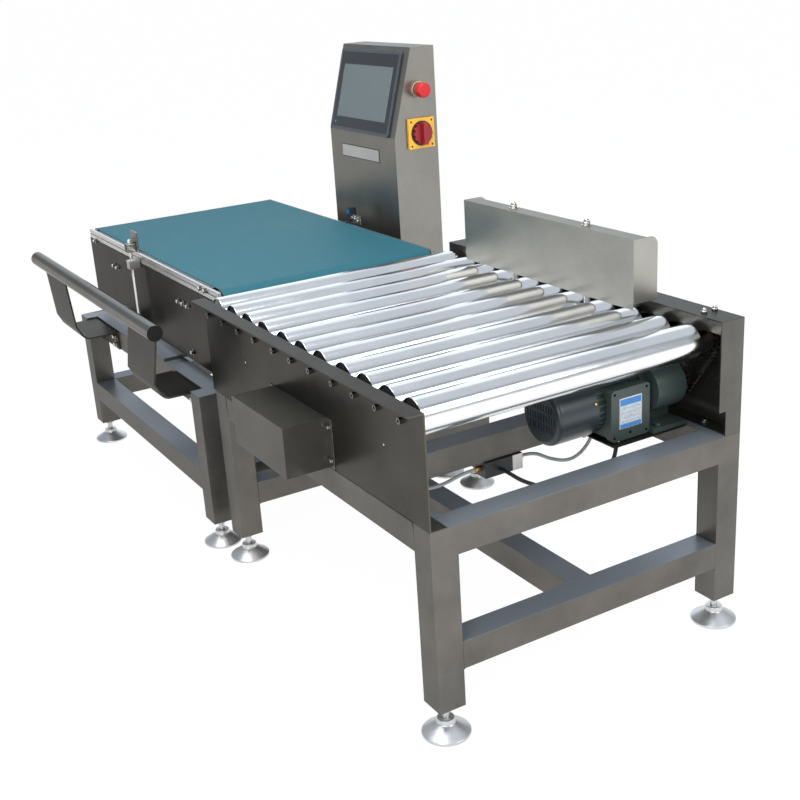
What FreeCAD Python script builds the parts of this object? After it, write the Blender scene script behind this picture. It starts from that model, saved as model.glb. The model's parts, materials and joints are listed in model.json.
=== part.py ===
import FreeCAD, Part
import Sketcher
import math
import os

# Checkweigher with a belt weighing section and a roller section with a side pusher.
# X is the conveying direction, Z is up, and the origin lies on the floor
# in the middle of the machine's box. All lengths are in millimetres.

SIZES = {
    # Stands of square steel tube
    "tube_side": 60,
    "tube_wall": 2,
    "end_plate": 6,
    "cap_plate": 2,
    "stand_gap": 60,
    "foot_height": 67,
    "low_rail_top": 209,
    "roller_stand_length": 1000,
    "roller_stand_width": 780,
    "roller_stand_height": 390,
    "roller_stand_near": -382,
    "middle_rail_start": 648,
    "weigh_stand_length": 1000,
    "weigh_stand_width": 780,
    "weigh_stand_height": 359,
    "weigh_stand_near": -407,
    "beam_inset": 35,
    # Levelling feet
    "foot_diameter": 100,
    "foot_skirt": 6,
    "foot_cone_top": 26,
    "foot_hub_diameter": 36,
    "foot_hub_top": 36,
    "stud_diameter": 16,
    "stud_above_plate": 35,
    "nut_across": 27,
    "nut_height": 10,
    "running_gap": 0.05,
    # Sheet metal of the roller section
    "sheet": 3,
    "near_panel_start": 20,
    "panel_above_axis": 36,
    "near_top_flange": 34,
    "near_low_flange": 38,
    "flange_round": 12,
    "guard_start": 20,
    "guard_above_axis": 54,
    "guard_depth": 63,
    "guard_lip": 28,
    "guard_low_flange": 40,
    "guard_notch_height": 56,
    "guard_notch_depth": 19,
    # Rollers
    "roller_diameter": 76,
    "roller_wall": 3,
    "roller_near": -360,
    "roller_far": 318,
    "roller_first": 53,
    "roller_pitch": 87.5,
    "roller_gap_pitch": 100,
    "roller_rise": 200,
    "roller_cap": 12,
    "roller_cap_recess": 3,
    "axle_diameter": 12,
    "hub_diameter": 30,
    "screw_diameter": 8,
    "screw_head": 8,
    "screw_head_diameter": 13,
    "screw_socket": 6,
    # Chain drive
    "chain_plane": 363,
    "chain_pitch": 12.7,
    "chain_roller": 8.5,
    "chain_height": 8,
    "chain_width": 9,
    "sprocket_width": 7,
    "roller_teeth": 17,
    "motor_teeth": 15,
    "chain_gap": 0.4,
    "motor_shaft_x": 880,
    "shaft_rise": 18,
    "motor_shaft_diameter": 22,
    # Gearmotor
    "mount_plate": 3,
    "mount_start": 740,
    "mount_end": 935,
    "mount_near": 133,
    "mount_far": 333,
    "motor_x": 840,
    "motor_clearance": 7,
    "motor_radius": 62,
    "motor_ribs": 28,
    "motor_rib_depth": 4,
    "fan_cover_lap": 3,
    "fan_cover_round": 12,
    "grille_slot": 3.5,
    "grille_slot_length": 15,
    "grille_pitch": 9,
    "grille_row_pitch": 22,
    "grille_depth": 5,
    "fan_cover_near": 16,
    "fan_cover_length": 104,
    "motor_end": 243.3,
    "gear_case_far": 340,
    "gear_flange": 14,
    "gear_flange_lap": 4,
    "gear_case_radius": 52,
    "gear_case_round": 6,
    "gear_foot": 10,
    "gear_foot_reach": 24,
    "gear_bolt_across": 13,
    "gear_bolt_height": 7,
    "shaft_socket": 20,
    "terminal_near": 138,
    "terminal_far": 243,
    "terminal_low": 462,
    "terminal_top": 577,
    "terminal_face": 920,
    "terminal_lid": 16,
    "terminal_lid_lap": 3,
    "terminal_round": 9,
    # Pusher
    "pusher_start": 187,
    "pusher_end": 826,
    "pusher_face": 278,
    "pusher_low": 703,
    "pusher_top": 857,
    "pusher_flange": 40,
    "pusher_lip": 12,
    "pusher_wing_depth": 68,
    "pusher_wing_low": 716,
    "pusher_wing_round": 20,
    "post_diameter": 16,
    "post_y": 304,
    "guide_x": 503,
    "guide_half_pitch": 90,
    "guide_drop": 140,
    "guide_diameter": 20,
    "bearing_side": 46,
    "bearing_length": 60,
    "carriage_plate": 12,
    "carriage_half_length": 116,
    "cross_bar_height": 25,
    "cross_bar_width": 40,
    "cross_bar_overhang": 20,
    "cylinder_side": 40,
    "end_block": 16,
    "end_block_y": 338,
    # Housing of the pusher guides
    "housing_start": 395,
    "housing_end": 647,
    "housing_depth": 103,
    "housing_below_guides": 58,
    "housing_above_guides": 54,
    "housing_sheet": 2,
    "housing_flange": 20,
    # Belt conveyor
    "belt_near": -321,
    "belt_far": 287,
    "belt_top": 695,
    "belt_thickness": 2,
    "belt_gap": 0.3,
    "drum_diameter": 60,
    "drive_drum_x": -23,
    "tail_drum_x": -1014,
    "drum_shaft": 20,
    "side_rail": 10,
    "side_rail_top": 691,
    "side_rail_low": 600,
    "side_rail_near": -335,
    "side_rail_far": 301,
    "side_rail_start": -1044,
    "side_rail_end": -3,
    "rail_groove": 5,
    "rail_groove_drop": 14,
    "bed_gap": 5,
    "bed_sheet": 3,
    "weigh_panel_sheet": 2,
    "weigh_panel_top": 665,
    "weigh_panel_low": 459,
    "weigh_panel_start": -1040,
    "weigh_panel_end": -40,
    "weigh_panel_flange": 25,
    "cross_member": 25,
    "cross_member_near_end": -250,
    "cross_member_far_end": -820,
    "spine_width": 80,
    "spine_height": 40,
    "cell_length": 200,
    "cell_width": 60,
    "cell_height": 40,
    "cell_spacer": 8,
    "cell_base": 10,
    "cell_x": -470,
    "cell_hole": 24,
    "cell_hole_pitch": 28,
    # Handrail
    "rail_diameter": 42,
    "rail_wall": 2,
    "rail_axis_y": -508,
    "rail_axis_height": 624,
    "rail_start": -1050,
    "rail_end": 0,
    "rail_cap": 3,
    "bracket_sheet": 5,
    "bracket_width": 200,
    "bracket_bend": 25,
    "bracket_flange_bend": 3,
    "bracket_run_end": 35,
    "bracket_lean": 12,
    "bracket_knee": 40,
    "bracket_drop": 4,
    "bracket_thin": 4,
    "bracket_leg_gap": 5,
    # Sensors
    "sensor_rod": 10,
    "sensor_rod_x": -582,
    "sensor_rod_y": -357,
    "sensor_rod_top": 735,
    "clamp_low": 652,
    "clamp_height": 24,
    "clamp_gap": 0.3,
    "reflector_low": 700,
    "reflector_height": 57,
    "reflector_width": 46,
    "reflector_thickness": 6,
    "reflector_overhang": 2,
    "eye_x": -505,
    "eye_y": 323,
    "eye_width": 20,
    "eye_depth": 24,
    "eye_low": 694,
    "eye_top": 734,
    # Control column
    "column_start": -700,
    "column_end": -305,
    "column_front": 375,
    "column_back": 520.7,
    "column_low": 160,
    "column_top": 1200,
    "column_knee": 951,
    "head_lean": 15.3,
    "column_sheet": 2,
    "column_bracket_inset": 100,
    "column_high_bracket_inset": 10,
    "column_low_bracket_inset": 5,
    "door_sheet": 2,
    "door_margin": 14,
    "door_gap": 0.3,
    "hinge_barrel": 8,
    "hinge_pin": 4,
    "hinge_length": 24,
    "hinge_from_edge": 10,
    "hinge_from_end": 120,
    "hinge_door_gap": 1,
    "lock_diameter": 18,
    "lock_from_edge": 22,
    "lock_height": 680,
    "lock_depth": 9,
    "lock_face": 3,
    "lock_face_lap": 3,
    "lock_slot": 3,
    "cam_width": 16,
    "cam_length": 34,
    "screen_start": -692,
    "screen_width": 354,
    "screen_height": 245,
    "screen_side_margin": 29,
    "screen_low_margin": 40,
    "screen_top_margin": 45,
    "screen_recess": 1.5,
    "bezel_proud": 6,
    "bezel_round": 8,
    # Switches
    "estop_y": 459,
    "estop_above_switch": 123,
    "estop_diameter": 42,
    "estop_stem": 22,
    "estop_collar": 10,
    "estop_collar_diameter": 46,
    "estop_press": 6,
    "estop_cap": 26,
    "estop_cap_round": 6,
    "shaft_end_gap": 0.5,
    "estop_clearance": 1,
    "switch_y": 461,
    "switch_drop": 241,
    "switch_side": 86,
    "switch_plate": 10,
    "switch_shaft": 10,
    "knob_diameter": 62,
    "knob_thickness": 10,
    "knob_scallops": 12,
    "knob_scallop": 8,
    "grip_thickness": 24,
    "grip_width": 14,
    # Air valve, hoses and cable
    "valve_start": 670,
    "valve_width": 45,
    "valve_near": -43,
    "valve_length": 101,
    "valve_height": 38,
    "port_diameter": 13,
    "port_length": 14,
    "port_near": -296,
    "port_far": 316,
    "hose_diameter": 8,
    "cable_diameter": 9,
    "cable_hole": 15,
    "cable_x": 910,
    "cable_y": 160,
}

PAST = 1.0   # how far a cutting tool runs past the face that it cuts
ZERO = 1e-9

doc = FreeCAD.newDocument("checkweigher")
sheet = doc.addObject("Spreadsheet::Sheet", "Sizes")
for row, (alias, number) in enumerate(SIZES.items(), start=1):
    sheet.set(f"A{row}", alias)
    sheet.set(f"B{row}", str(number))
    sheet.setAlias(f"B{row}", alias)
doc.recompute()


class Size:
    """A length together with the sheet expression that gives it."""

    def __init__(self, value, text):
        self.value = value
        self.text = text

    def _join(self, sign, other, value):
        return Size(value, f"({self.text} {sign} {other.text})")

    def __add__(self, other):
        other = as_size(other)
        return self._join("+", other, self.value + other.value)

    def __radd__(self, other):
        return as_size(other) + self

    def __sub__(self, other):
        other = as_size(other)
        return self._join("-", other, self.value - other.value)

    def __rsub__(self, other):
        return as_size(other) - self

    def __mul__(self, other):
        other = as_size(other)
        return self._join("*", other, self.value * other.value)

    def __rmul__(self, other):
        return self * other

    def __truediv__(self, other):
        other = as_size(other)
        return self._join("/", other, self.value / other.value)

    def __neg__(self):
        return Size(-self.value, f"(-{self.text})")


def as_size(number):
    return number if isinstance(number, Size) else Size(float(number), f"({float(number)})")


def sine(angle):
    return Size(math.sin(math.radians(angle.value)), f"sin({angle.text})")


def cosine(angle):
    return Size(math.cos(math.radians(angle.value)), f"cos({angle.text})")


def tangent(angle):
    return Size(math.tan(math.radians(angle.value)), f"tan({angle.text})")


class Sheet:
    """Gives each named cell as a Size."""

    def __getattr__(self, alias):
        return Size(float(SIZES[alias]), f"Sizes.{alias}")


S = Sheet()


def bind(thing, prop, size):
    thing.setExpression(prop, as_size(size).text)


def put(thing, x=0, y=0, z=0, rotation=None):
    """Places a piece, with each coordinate tied to the sheet."""
    if rotation is not None:
        thing.Placement = FreeCAD.Placement(FreeCAD.Vector(), rotation)
    for name, size in zip("xyz", (x, y, z)):
        bind(thing, f"Placement.Base.{name}", size)
    return thing


def turn(axis, degrees):
    directions = {"X": FreeCAD.Vector(1, 0, 0), "Y": FreeCAD.Vector(0, 1, 0), "Z": FreeCAD.Vector(0, 0, 1)}
    return FreeCAD.Rotation(directions[axis], degrees)


ALONG = {"X": turn("Y", 90), "Y": turn("X", -90), "Z": turn("Z", 0)}


def block(name, x, y, z):
    """A box between two X, two Y and two Z values."""
    box = doc.addObject("Part::Box", name)
    for prop, (low, high) in (("Length", x), ("Width", y), ("Height", z)):
        bind(box, prop, as_size(high) - low)
    return put(box, x[0], y[0], z[0])


def rod(name, axis, x, y, z, length, diameter):
    """A round bar from the centre of its first face along +axis."""
    bar = doc.addObject("Part::Cylinder", name)
    bind(bar, "Radius", as_size(diameter) / 2)
    bind(bar, "Height", length)
    return put(bar, x, y, z, ALONG[axis])


def group(name, pieces):
    """Separate solids that share one node."""
    if len(pieces) == 1:
        pieces[0].Label = name
        return pieces[0]
    whole = doc.addObject("Part::Compound", name)
    whole.Links = list(pieces)
    return whole


def cut(name, base, *tools):
    result = doc.addObject("Part::Cut", name)
    result.Base = base
    result.Tool = tools[0] if len(tools) == 1 else group(name + "_tools", tools)
    return result


def fuse(name, *pieces):
    result = doc.addObject("Part::MultiFuse", name)
    result.Shapes = list(pieces)
    result.Refine = True
    return result


def origin_plane(body, role):
    return next(part for part in body.Origin.OriginFeatures if part.Role == role)


def pin_point(drawing, geometry, position, along, up):
    """Ties one point of a drawing to its distances from the drawing's origin."""
    for kind, size, axis in (("DistanceX", as_size(along), -2), ("DistanceY", as_size(up), -1)):
        if abs(size.value) < ZERO:
            drawing.addConstraint(Sketcher.Constraint("PointOnObject", geometry, position, axis))
        else:
            row = drawing.addConstraint(Sketcher.Constraint(kind, -1, 1, geometry, position, size.value))
            drawing.setExpression(f"Constraints[{row}]", size.text)


def drawing_on(body, role, outline, circles=()):
    """A closed outline of straight lines, with round holes, on one origin plane."""
    drawing = body.newObject("Sketcher::SketchObject", body.Name + "_outline")
    drawing.AttachmentSupport = [(origin_plane(body, role), "")]
    drawing.MapMode = "FlatFace"
    points = [FreeCAD.Vector(as_size(a).value, as_size(b).value, 0) for a, b in outline]
    count = len(points)
    for index in range(count):
        drawing.addGeometry(Part.LineSegment(points[index], points[(index + 1) % count]), False)
    for index in range(count):
        drawing.addConstraint(Sketcher.Constraint("Coincident", index, 2, (index + 1) % count, 1))
    for index, (along, up) in enumerate(outline):
        pin_point(drawing, index, 1, along, up)
    for along, up, diameter in circles:
        along, up, diameter = as_size(along), as_size(up), as_size(diameter)
        ring = Part.Circle(FreeCAD.Vector(along.value, up.value, 0), FreeCAD.Vector(0, 0, 1), diameter.value / 2)
        geometry = drawing.addGeometry(ring, False)
        pin_point(drawing, geometry, 3, along, up)
        row = drawing.addConstraint(Sketcher.Constraint("Diameter", geometry, diameter.value))
        drawing.setExpression(f"Constraints[{row}]", diameter.text)
    return drawing


def round_edges(body, direction, corners, radius):
    """Rounds the edges that run along one direction through the given corners of the outline."""
    doc.recompute()
    pad = body.Tip
    names = []
    for number, edge in enumerate(pad.Shape.Edges, start=1):
        if len(edge.Vertexes) != 2 or not isinstance(edge.Curve, Part.Line):
            continue
        start, end = (vertex.Point for vertex in edge.Vertexes)
        run = (end - start).normalize()
        if abs(abs(run.dot(direction)) - 1) > 1e-6:
            continue
        for corner in corners:
            aside = start - corner
            if (aside - direction * aside.dot(direction)).Length < 1e-4:
                names.append(f"Edge{number}")
    fillet = body.newObject("PartDesign::Fillet", body.Name + "_round")
    fillet.Base = (pad, names)
    bind(fillet, "Radius", radius)
    return fillet


def plate(name, role, outline, low, high, circles=()):
    """A padded outline. It lies between two values on the axis at right angles to its plane."""
    body = doc.addObject("PartDesign::Body", name)
    drawing = drawing_on(body, role, outline, circles)
    pad = body.newObject("PartDesign::Pad", name + "_pad")
    pad.Profile = drawing
    bind(pad, "Length", as_size(high) - low)
    drawing.Visibility = False
    if role == "YZ_Plane":
        put(body, x=low)
    elif role == "XZ_Plane":
        put(body, y=high)
    else:
        put(body, z=low)
    return body


def turned(name, axis, x, y, z, profile):
    """A turned piece. The profile holds radius and height pairs."""
    body = doc.addObject("PartDesign::Body", name)
    drawing = drawing_on(body, "XZ_Plane", profile)
    spin = body.newObject("PartDesign::Revolution", name + "_turn")
    spin.Profile = drawing
    spin.ReferenceAxis = (drawing, ["V_Axis"])
    spin.Angle = 360
    return put(body, x, y, z, ALONG[axis])


def code_shape(name, shape, x=0, y=0, z=0):
    """A piece whose form is worked out here from the sheet's sizes."""
    piece = doc.addObject("Part::Feature", name)
    piece.Shape = shape
    return put(piece, x, y, z)


nodes = []


def keep(piece):
    nodes.append(piece)
    return piece


# Heights and lines that several pieces share
roller_stand_start = S.stand_gap / 2
roller_stand_end = roller_stand_start + S.roller_stand_length
roller_stand_far = S.roller_stand_near + S.roller_stand_width
roller_stand_top = S.foot_height + S.roller_stand_height
weigh_stand_end = -(S.stand_gap / 2)
weigh_stand_start = weigh_stand_end - S.weigh_stand_length
weigh_stand_far = S.weigh_stand_near + S.weigh_stand_width
weigh_stand_top = S.foot_height + S.weigh_stand_height
low_rail_base = S.low_rail_top - S.tube_side
roller_axis = roller_stand_top + S.roller_rise
near_panel_top = roller_axis + S.panel_above_axis
guard_top = roller_axis + S.guard_above_axis
mount_top = roller_stand_top + S.mount_plate
motor_axis = mount_top + S.motor_clearance + S.motor_radius
motor_shaft = motor_axis + S.shaft_rise
guide_height = roller_axis - S.guide_drop
switch_height = S.column_top - S.switch_drop
estop_height = switch_height + S.estop_above_switch


def hollow(name, axis, x, y, z, low_stop=None, high_stop=None):
    """A square tube along one axis. A stop is the thickness of a plate that closes that end."""
    ranges = {"X": x, "Y": y, "Z": z}
    inner = {}
    for key, (low, high) in ranges.items():
        if key == axis:
            start = low - PAST if low_stop is None else low + low_stop
            end = high + PAST if high_stop is None else high - high_stop
            inner[key] = (start, end)
        else:
            inner[key] = (low + S.tube_wall, high - S.tube_wall)
    outer = block(name + "_outer", x, y, z)
    space = block(name + "_space", inner["X"], inner["Y"], inner["Z"])
    return cut(name, outer, space)


def mitre(name, x, y, z, degrees):
    """A cutter whose face makes the slanted end of a square tube, from one corner of the joint."""
    tool = doc.addObject("Part::Box", name)
    bind(tool, "Length", S.tube_side + 2 * PAST)
    bind(tool, "Width", S.tube_side * 2)
    bind(tool, "Height", S.tube_side * 2)
    return put(tool, x - PAST, y, z, turn("X", degrees))


# Levelling feet: a cast cone with a stud, which screws into the leg's end plate
def foot_places():
    half = S.tube_side / 2
    for start, end, near, far in (
        (weigh_stand_start, weigh_stand_end, S.weigh_stand_near, weigh_stand_far),
        (roller_stand_start, roller_stand_end, S.roller_stand_near, roller_stand_far),
    ):
        for x in (start + half, end - half):
            for y in (near + half, far - half):
                yield x, y


def stud_hole(name, x, y):
    return rod(name, "Z", x, y, S.foot_height - PAST, S.end_plate + 2 * PAST,
               S.stud_diameter + 2 * S.running_gap)


def foot(number, x, y):
    foot_radius = S.foot_diameter / 2
    stud_radius = S.stud_diameter / 2
    hub_radius = S.foot_hub_diameter / 2
    stud_top = S.foot_height + S.end_plate + S.stud_above_plate
    return turned(f"levelling_foot_{number}", "Z", x, y, 0, [
        (0, 0), (foot_radius, 0), (foot_radius, S.foot_skirt), (hub_radius, S.foot_cone_top),
        (hub_radius, S.foot_hub_top), (stud_radius, S.foot_hub_top), (stud_radius, stud_top), (0, stud_top),
    ])


feet = [foot(number, x, y) for number, (x, y) in enumerate(foot_places(), start=1)]
keep(group("weigh_stand_feet", feet[:4]))
keep(group("roller_stand_feet", feet[4:]))


def hexagon(name, axis, x, y, z, height, across):
    nut = doc.addObject("Part::Prism", name)
    nut.Polygon = 6
    bind(nut, "Circumradius", across / math.sqrt(3))
    bind(nut, "Height", height)
    return put(nut, x, y, z, ALONG[axis])


def foot_nut(number, x, y):
    low = S.foot_height - S.nut_height
    nut = hexagon(f"foot_nut_{number}_hex", "Z", x, y, low, S.nut_height, S.nut_across)
    bore = rod(f"foot_nut_{number}_bore", "Z", x, y, low - PAST, S.nut_height + 2 * PAST,
               S.stud_diameter + 2 * S.running_gap)
    return cut(f"foot_nut_{number}", nut, bore)


keep(group("foot_lock_nuts", [foot_nut(n, x, y) for n, (x, y) in enumerate(foot_places(), start=1)]))


# Roller stand: mitred end frames with rails between them
def roller_stand():
    side = S.tube_side
    near, far, top = S.roller_stand_near, roller_stand_far, roller_stand_top
    start, end = roller_stand_start, roller_stand_end
    pieces = []
    for label, x in (("infeed", start), ("outfeed", end - side)):
        span = (x, x + side)
        for place, y, corner_y, corner_z, degrees in (
            ("near", near, near, top, -45),
            ("far", far - side, far - side, top - side, 45),
        ):
            leg = hollow(f"{label}_{place}_leg_tube", "Z", span, (y, y + side), (S.foot_height, top),
                         low_stop=S.end_plate)
            tool = mitre(f"{label}_{place}_leg_mitre", x, corner_y, corner_z, degrees)
            hole = stud_hole(f"{label}_{place}_leg_hole", x + side / 2, y + side / 2)
            pieces.append(cut(f"{label}_{place}_leg", leg, tool, hole))
        rail = hollow(f"{label}_cross_rail_tube", "Y", span, (near, far), (top - side, top))
        pieces.append(cut(f"{label}_cross_rail", rail,
                          mitre(f"{label}_cross_near_mitre", x, near + side, top - side, 135),
                          mitre(f"{label}_cross_far_mitre", x, far, top, 225)))
        pieces.append(hollow(f"{label}_low_rail", "Y", span, (near + side, far - side),
                             (low_rail_base, S.low_rail_top)))
    between = (start + side, end - side)
    for label, y in (("near", near), ("far", far - side)):
        pieces.append(hollow(f"{label}_top_rail", "X", between, (y, y + side), (top - side, top)))
    middle = (near + far) / 2
    pieces.append(hollow("middle_cross_rail", "Y", (S.middle_rail_start, S.middle_rail_start + side),
                         (near + side, far - side), (top - side, top)))
    pieces.append(hollow("centre_low_rail", "X", between, (middle - side / 2, middle + side / 2),
                         (low_rail_base, S.low_rail_top)))
    return group("outfeed_stand", pieces)


keep(roller_stand())


# Weighing stand: capped legs, flush end rails and two inset beams that carry the weigher
def weigh_stand():
    side = S.tube_side
    near, far, top = S.weigh_stand_near, weigh_stand_far, weigh_stand_top
    start, end = weigh_stand_start, weigh_stand_end
    between = (start + side, end - side)
    across = (near + side, far - side)
    pieces = []
    for label, x in (("infeed", start), ("outfeed", end - side)):
        span = (x, x + side)
        for place, y in (("near", near), ("far", far - side)):
            leg = hollow(f"weigh_{label}_{place}_leg_tube", "Z", span, (y, y + side), (S.foot_height, top),
                         low_stop=S.end_plate, high_stop=S.cap_plate)
            hole = stud_hole(f"weigh_{label}_{place}_leg_hole", x + side / 2, y + side / 2)
            pieces.append(cut(f"weigh_{label}_{place}_leg", leg, hole))
        pieces.append(hollow(f"weigh_{label}_cross_rail", "Y", span, across, (top - side, top)))
        pieces.append(hollow(f"weigh_{label}_low_rail", "Y", span, across, (low_rail_base, S.low_rail_top)))
    for label, y in (("near", near + S.beam_inset), ("far", far - S.beam_inset - side)):
        pieces.append(hollow(f"weigh_{label}_beam", "X", between, (y, y + side), (top - side, top)))
    for label, y in (("near", near), ("far", far - side)):
        pieces.append(hollow(f"weigh_{label}_low_side", "X", between, (y, y + side),
                             (low_rail_base, S.low_rail_top)))
    return group("weigh_stand", pieces)


keep(weigh_stand())


# Roller places along the conveyor: two wider gaps let the pusher's posts through
def roller_places():
    x = S.roller_first
    for number in range(1, 12):
        yield number, x
        x = x + (S.roller_gap_pitch if number in (4, 7) else S.roller_pitch)


places = dict(roller_places())
post_places = ((places[4] + places[5]) / 2, (places[7] + places[8]) / 2)
axle_bore = S.axle_diameter + 2 * S.running_gap
near_inner = S.roller_stand_near + S.sheet
far_inner = roller_stand_far - S.sheet
guide_places = (S.guide_x - S.guide_half_pitch, S.guide_x + S.guide_half_pitch)


# Near side panel: a folded sheet on the top rail, with its top flange turned outward
near_outline = [
    (S.roller_stand_near, roller_stand_top),
    (S.roller_stand_near + S.near_low_flange, roller_stand_top),
    (S.roller_stand_near + S.near_low_flange, roller_stand_top + S.sheet),
    (near_inner, roller_stand_top + S.sheet),
    (near_inner, near_panel_top),
    (S.roller_stand_near - S.near_top_flange, near_panel_top),
    (S.roller_stand_near - S.near_top_flange, near_panel_top - S.sheet),
    (S.roller_stand_near, near_panel_top - S.sheet),
]
near_sheet = plate("near_panel_sheet", "YZ_Plane", near_outline, S.near_panel_start, roller_stand_end)
flange_y = (S.roller_stand_near - S.near_top_flange).value
round_edges(near_sheet, FreeCAD.Vector(0, 0, 1), [
    FreeCAD.Vector(x, flange_y, 0) for x in (0, (roller_stand_end - S.near_panel_start).value)
], S.flange_round)
through_y = S.roller_stand_near - PAST
through_depth = S.sheet + 2 * PAST
near_holes = [rod(f"near_panel_axle_hole_{n}", "Y", x, through_y, roller_axis, through_depth,
                  S.screw_diameter) for n, x in places.items()]
near_holes += [rod(f"near_panel_guide_hole_{n}", "Y", x, through_y, guide_height, through_depth,
                   S.guide_diameter + 2 * S.running_gap) for n, x in enumerate(guide_places, start=1)]
keep(cut("near_side_panel", near_sheet, *near_holes))

# Chain guard: a folded channel along the far side that carries the axles' far ends
guard_inner = roller_stand_far - S.guard_depth
guard_outline = [
    (roller_stand_far, roller_stand_top),
    (roller_stand_far, guard_top),
    (guard_inner, guard_top),
    (guard_inner, guard_top - S.guard_lip),
    (guard_inner + S.sheet, guard_top - S.guard_lip),
    (guard_inner + S.sheet, guard_top - S.sheet),
    (far_inner, guard_top - S.sheet),
    (far_inner, roller_stand_top + S.sheet),
    (roller_stand_far - S.guard_low_flange, roller_stand_top + S.sheet),
    (roller_stand_far - S.guard_low_flange, roller_stand_top),
]
guard_sheet = plate("chain_guard_sheet", "YZ_Plane", guard_outline, S.guard_start, roller_stand_end - S.sheet)
end_outline = [
    (roller_stand_far, roller_stand_top),
    (roller_stand_far, guard_top),
    (guard_inner, guard_top),
    (guard_inner, roller_stand_top + S.guard_notch_height),
    (guard_inner + S.guard_notch_depth, roller_stand_top + S.guard_notch_height),
    (guard_inner + S.guard_notch_depth, roller_stand_top),
]
guard_end = plate("chain_guard_end", "YZ_Plane", end_outline, roller_stand_end - S.sheet, roller_stand_end)
keep(group("chain_guard", [guard_sheet, guard_end]))


# Rollers: a steel tube on two bearing caps, with a sprocket beyond the far cap
def sprocket_face(teeth):
    """The outline of a sprocket: a gullet for each chain roller and a blunt tooth between."""
    pitch_radius = S.chain_pitch.value / 2 / math.sin(math.pi / teeth)
    root = pitch_radius - S.chain_roller.value / 2
    tip = pitch_radius + S.chain_roller.value * 0.3
    step = 2 * math.pi / teeth
    points = []
    for tooth in range(teeth):
        for share, radius in ((-0.16, root), (0.16, root), (0.42, tip), (0.58, tip)):
            angle = (tooth + share) * step
            points.append(FreeCAD.Vector(radius * math.cos(angle), 0, radius * math.sin(angle)))
    return Part.Face(Part.makePolygon(points + points[:1]))


def sprocket_tip(teeth):
    return S.chain_pitch.value / 2 / math.sin(math.pi / teeth) + S.chain_roller.value * 0.3


def sprocket(name, teeth, x, z, bore):
    width = S.sprocket_width.value
    blank = sprocket_face(teeth).extrude(FreeCAD.Vector(0, width, 0))
    hole = Part.makeCylinder(bore.value / 2, width, FreeCAD.Vector(), FreeCAD.Vector(0, 1, 0))
    return code_shape(name, blank.cut(hole), x, S.chain_plane - S.sprocket_width / 2, z)


def ring(name, x, y, z, length, outer, inner):
    """A round sleeve along Y."""
    return cut(name, rod(name + "_outer", "Y", x, y, z, length, outer),
               rod(name + "_bore", "Y", x, y - PAST, z, length + 2 * PAST, inner))


def roller(number, x):
    z = roller_axis
    name = f"roller_{number:02d}"
    inner = S.roller_diameter - 2 * S.roller_wall
    sprocket_near = S.chain_plane - S.sprocket_width / 2
    pieces = [
        ring(f"{name}_tube", x, S.roller_near, z, S.roller_far - S.roller_near, S.roller_diameter, inner),
        ring(f"{name}_near_cap", x, S.roller_near + S.roller_cap_recess, z, S.roller_cap, inner, axle_bore),
        ring(f"{name}_far_cap", x, S.roller_far - S.roller_cap, z, S.roller_cap, inner, axle_bore),
        ring(f"{name}_hub", x, S.roller_far, z, sprocket_near - S.roller_far, S.hub_diameter, axle_bore),
        sprocket(f"{name}_sprocket", int(S.roller_teeth.value), x, z, axle_bore),
    ]
    return group(name, pieces)


for number, x in places.items():
    keep(roller(number, x))


def axle(number, x):
    """A plain bar between the side sheets, with the screw that holds it to the near sheet."""
    z = roller_axis
    bar = rod(f"axle_{number}_bar", "Y", x, near_inner, z, far_inner - near_inner, S.axle_diameter)
    shank = rod(f"axle_{number}_shank", "Y", x, S.roller_stand_near, z, S.sheet, S.screw_diameter)
    head = rod(f"axle_{number}_head", "Y", x, S.roller_stand_near - S.screw_head, z, S.screw_head,
               S.screw_head_diameter)
    socket = hexagon(f"axle_{number}_socket", "Y", x, S.roller_stand_near - S.screw_head - PAST, z,
                     S.screw_head / 2 + PAST, S.screw_socket)
    return cut(f"axle_{number}", fuse(f"axle_{number}_whole", bar, shank, head), socket)


keep(group("roller_axles", [axle(n, x) for n, x in places.items()]))


# Drive chain: one band round the end rollers' sprockets and the motor's sprocket
def tangent_loop(circles, grow):
    """A closed band round circles in the XZ plane, as straight runs joined by arcs."""
    edges = []
    count = len(circles)
    spots = []
    for index in range(count):
        (ax, az, ar), (bx, bz, br) = circles[index], circles[(index + 1) % count]
        ar, br = ar + grow, br + grow
        distance = math.hypot(bx - ax, bz - az)
        heading = math.atan2(bz - az, bx - ax)
        lean = math.acos((ar - br) / distance)
        angle = heading + lean
        side = (math.cos(angle), math.sin(angle))
        spots.append((FreeCAD.Vector(ax + ar * side[0], 0, az + ar * side[1]),
                      FreeCAD.Vector(bx + br * side[0], 0, bz + br * side[1]), angle))
    for index in range(count):
        leave, arrive, angle = spots[index]
        edges.append(Part.LineSegment(leave, arrive).toShape())
        nx, nz, nr = circles[(index + 1) % count]
        next_leave, _, next_angle = spots[(index + 1) % count]
        sweep = (angle - next_angle) % (2 * math.pi)
        middle = angle - sweep / 2
        radius = nr + grow
        top = FreeCAD.Vector(nx + radius * math.cos(middle), 0, nz + radius * math.sin(middle))
        edges.append(Part.Arc(arrive, top, next_leave).toShape())
    return Part.Wire(edges)


def drive_chain():
    first, last = places[1].value, places[11].value
    height = roller_axis.value
    tip = sprocket_tip(int(S.roller_teeth.value)) + S.chain_gap.value
    motor_tip = sprocket_tip(int(S.motor_teeth.value)) + S.chain_gap.value
    circles = [(first, height, tip), (last, height, tip),
               (S.motor_shaft_x.value, motor_shaft.value, motor_tip)]
    outer = Part.Face(tangent_loop(circles, S.chain_height.value))
    inner = Part.Face(tangent_loop(circles, 0))
    band = outer.cut(inner).extrude(FreeCAD.Vector(0, S.chain_width.value, 0))
    return code_shape("drive_chain", band, 0, S.chain_plane - S.chain_width / 2, 0)


keep(drive_chain())

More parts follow.
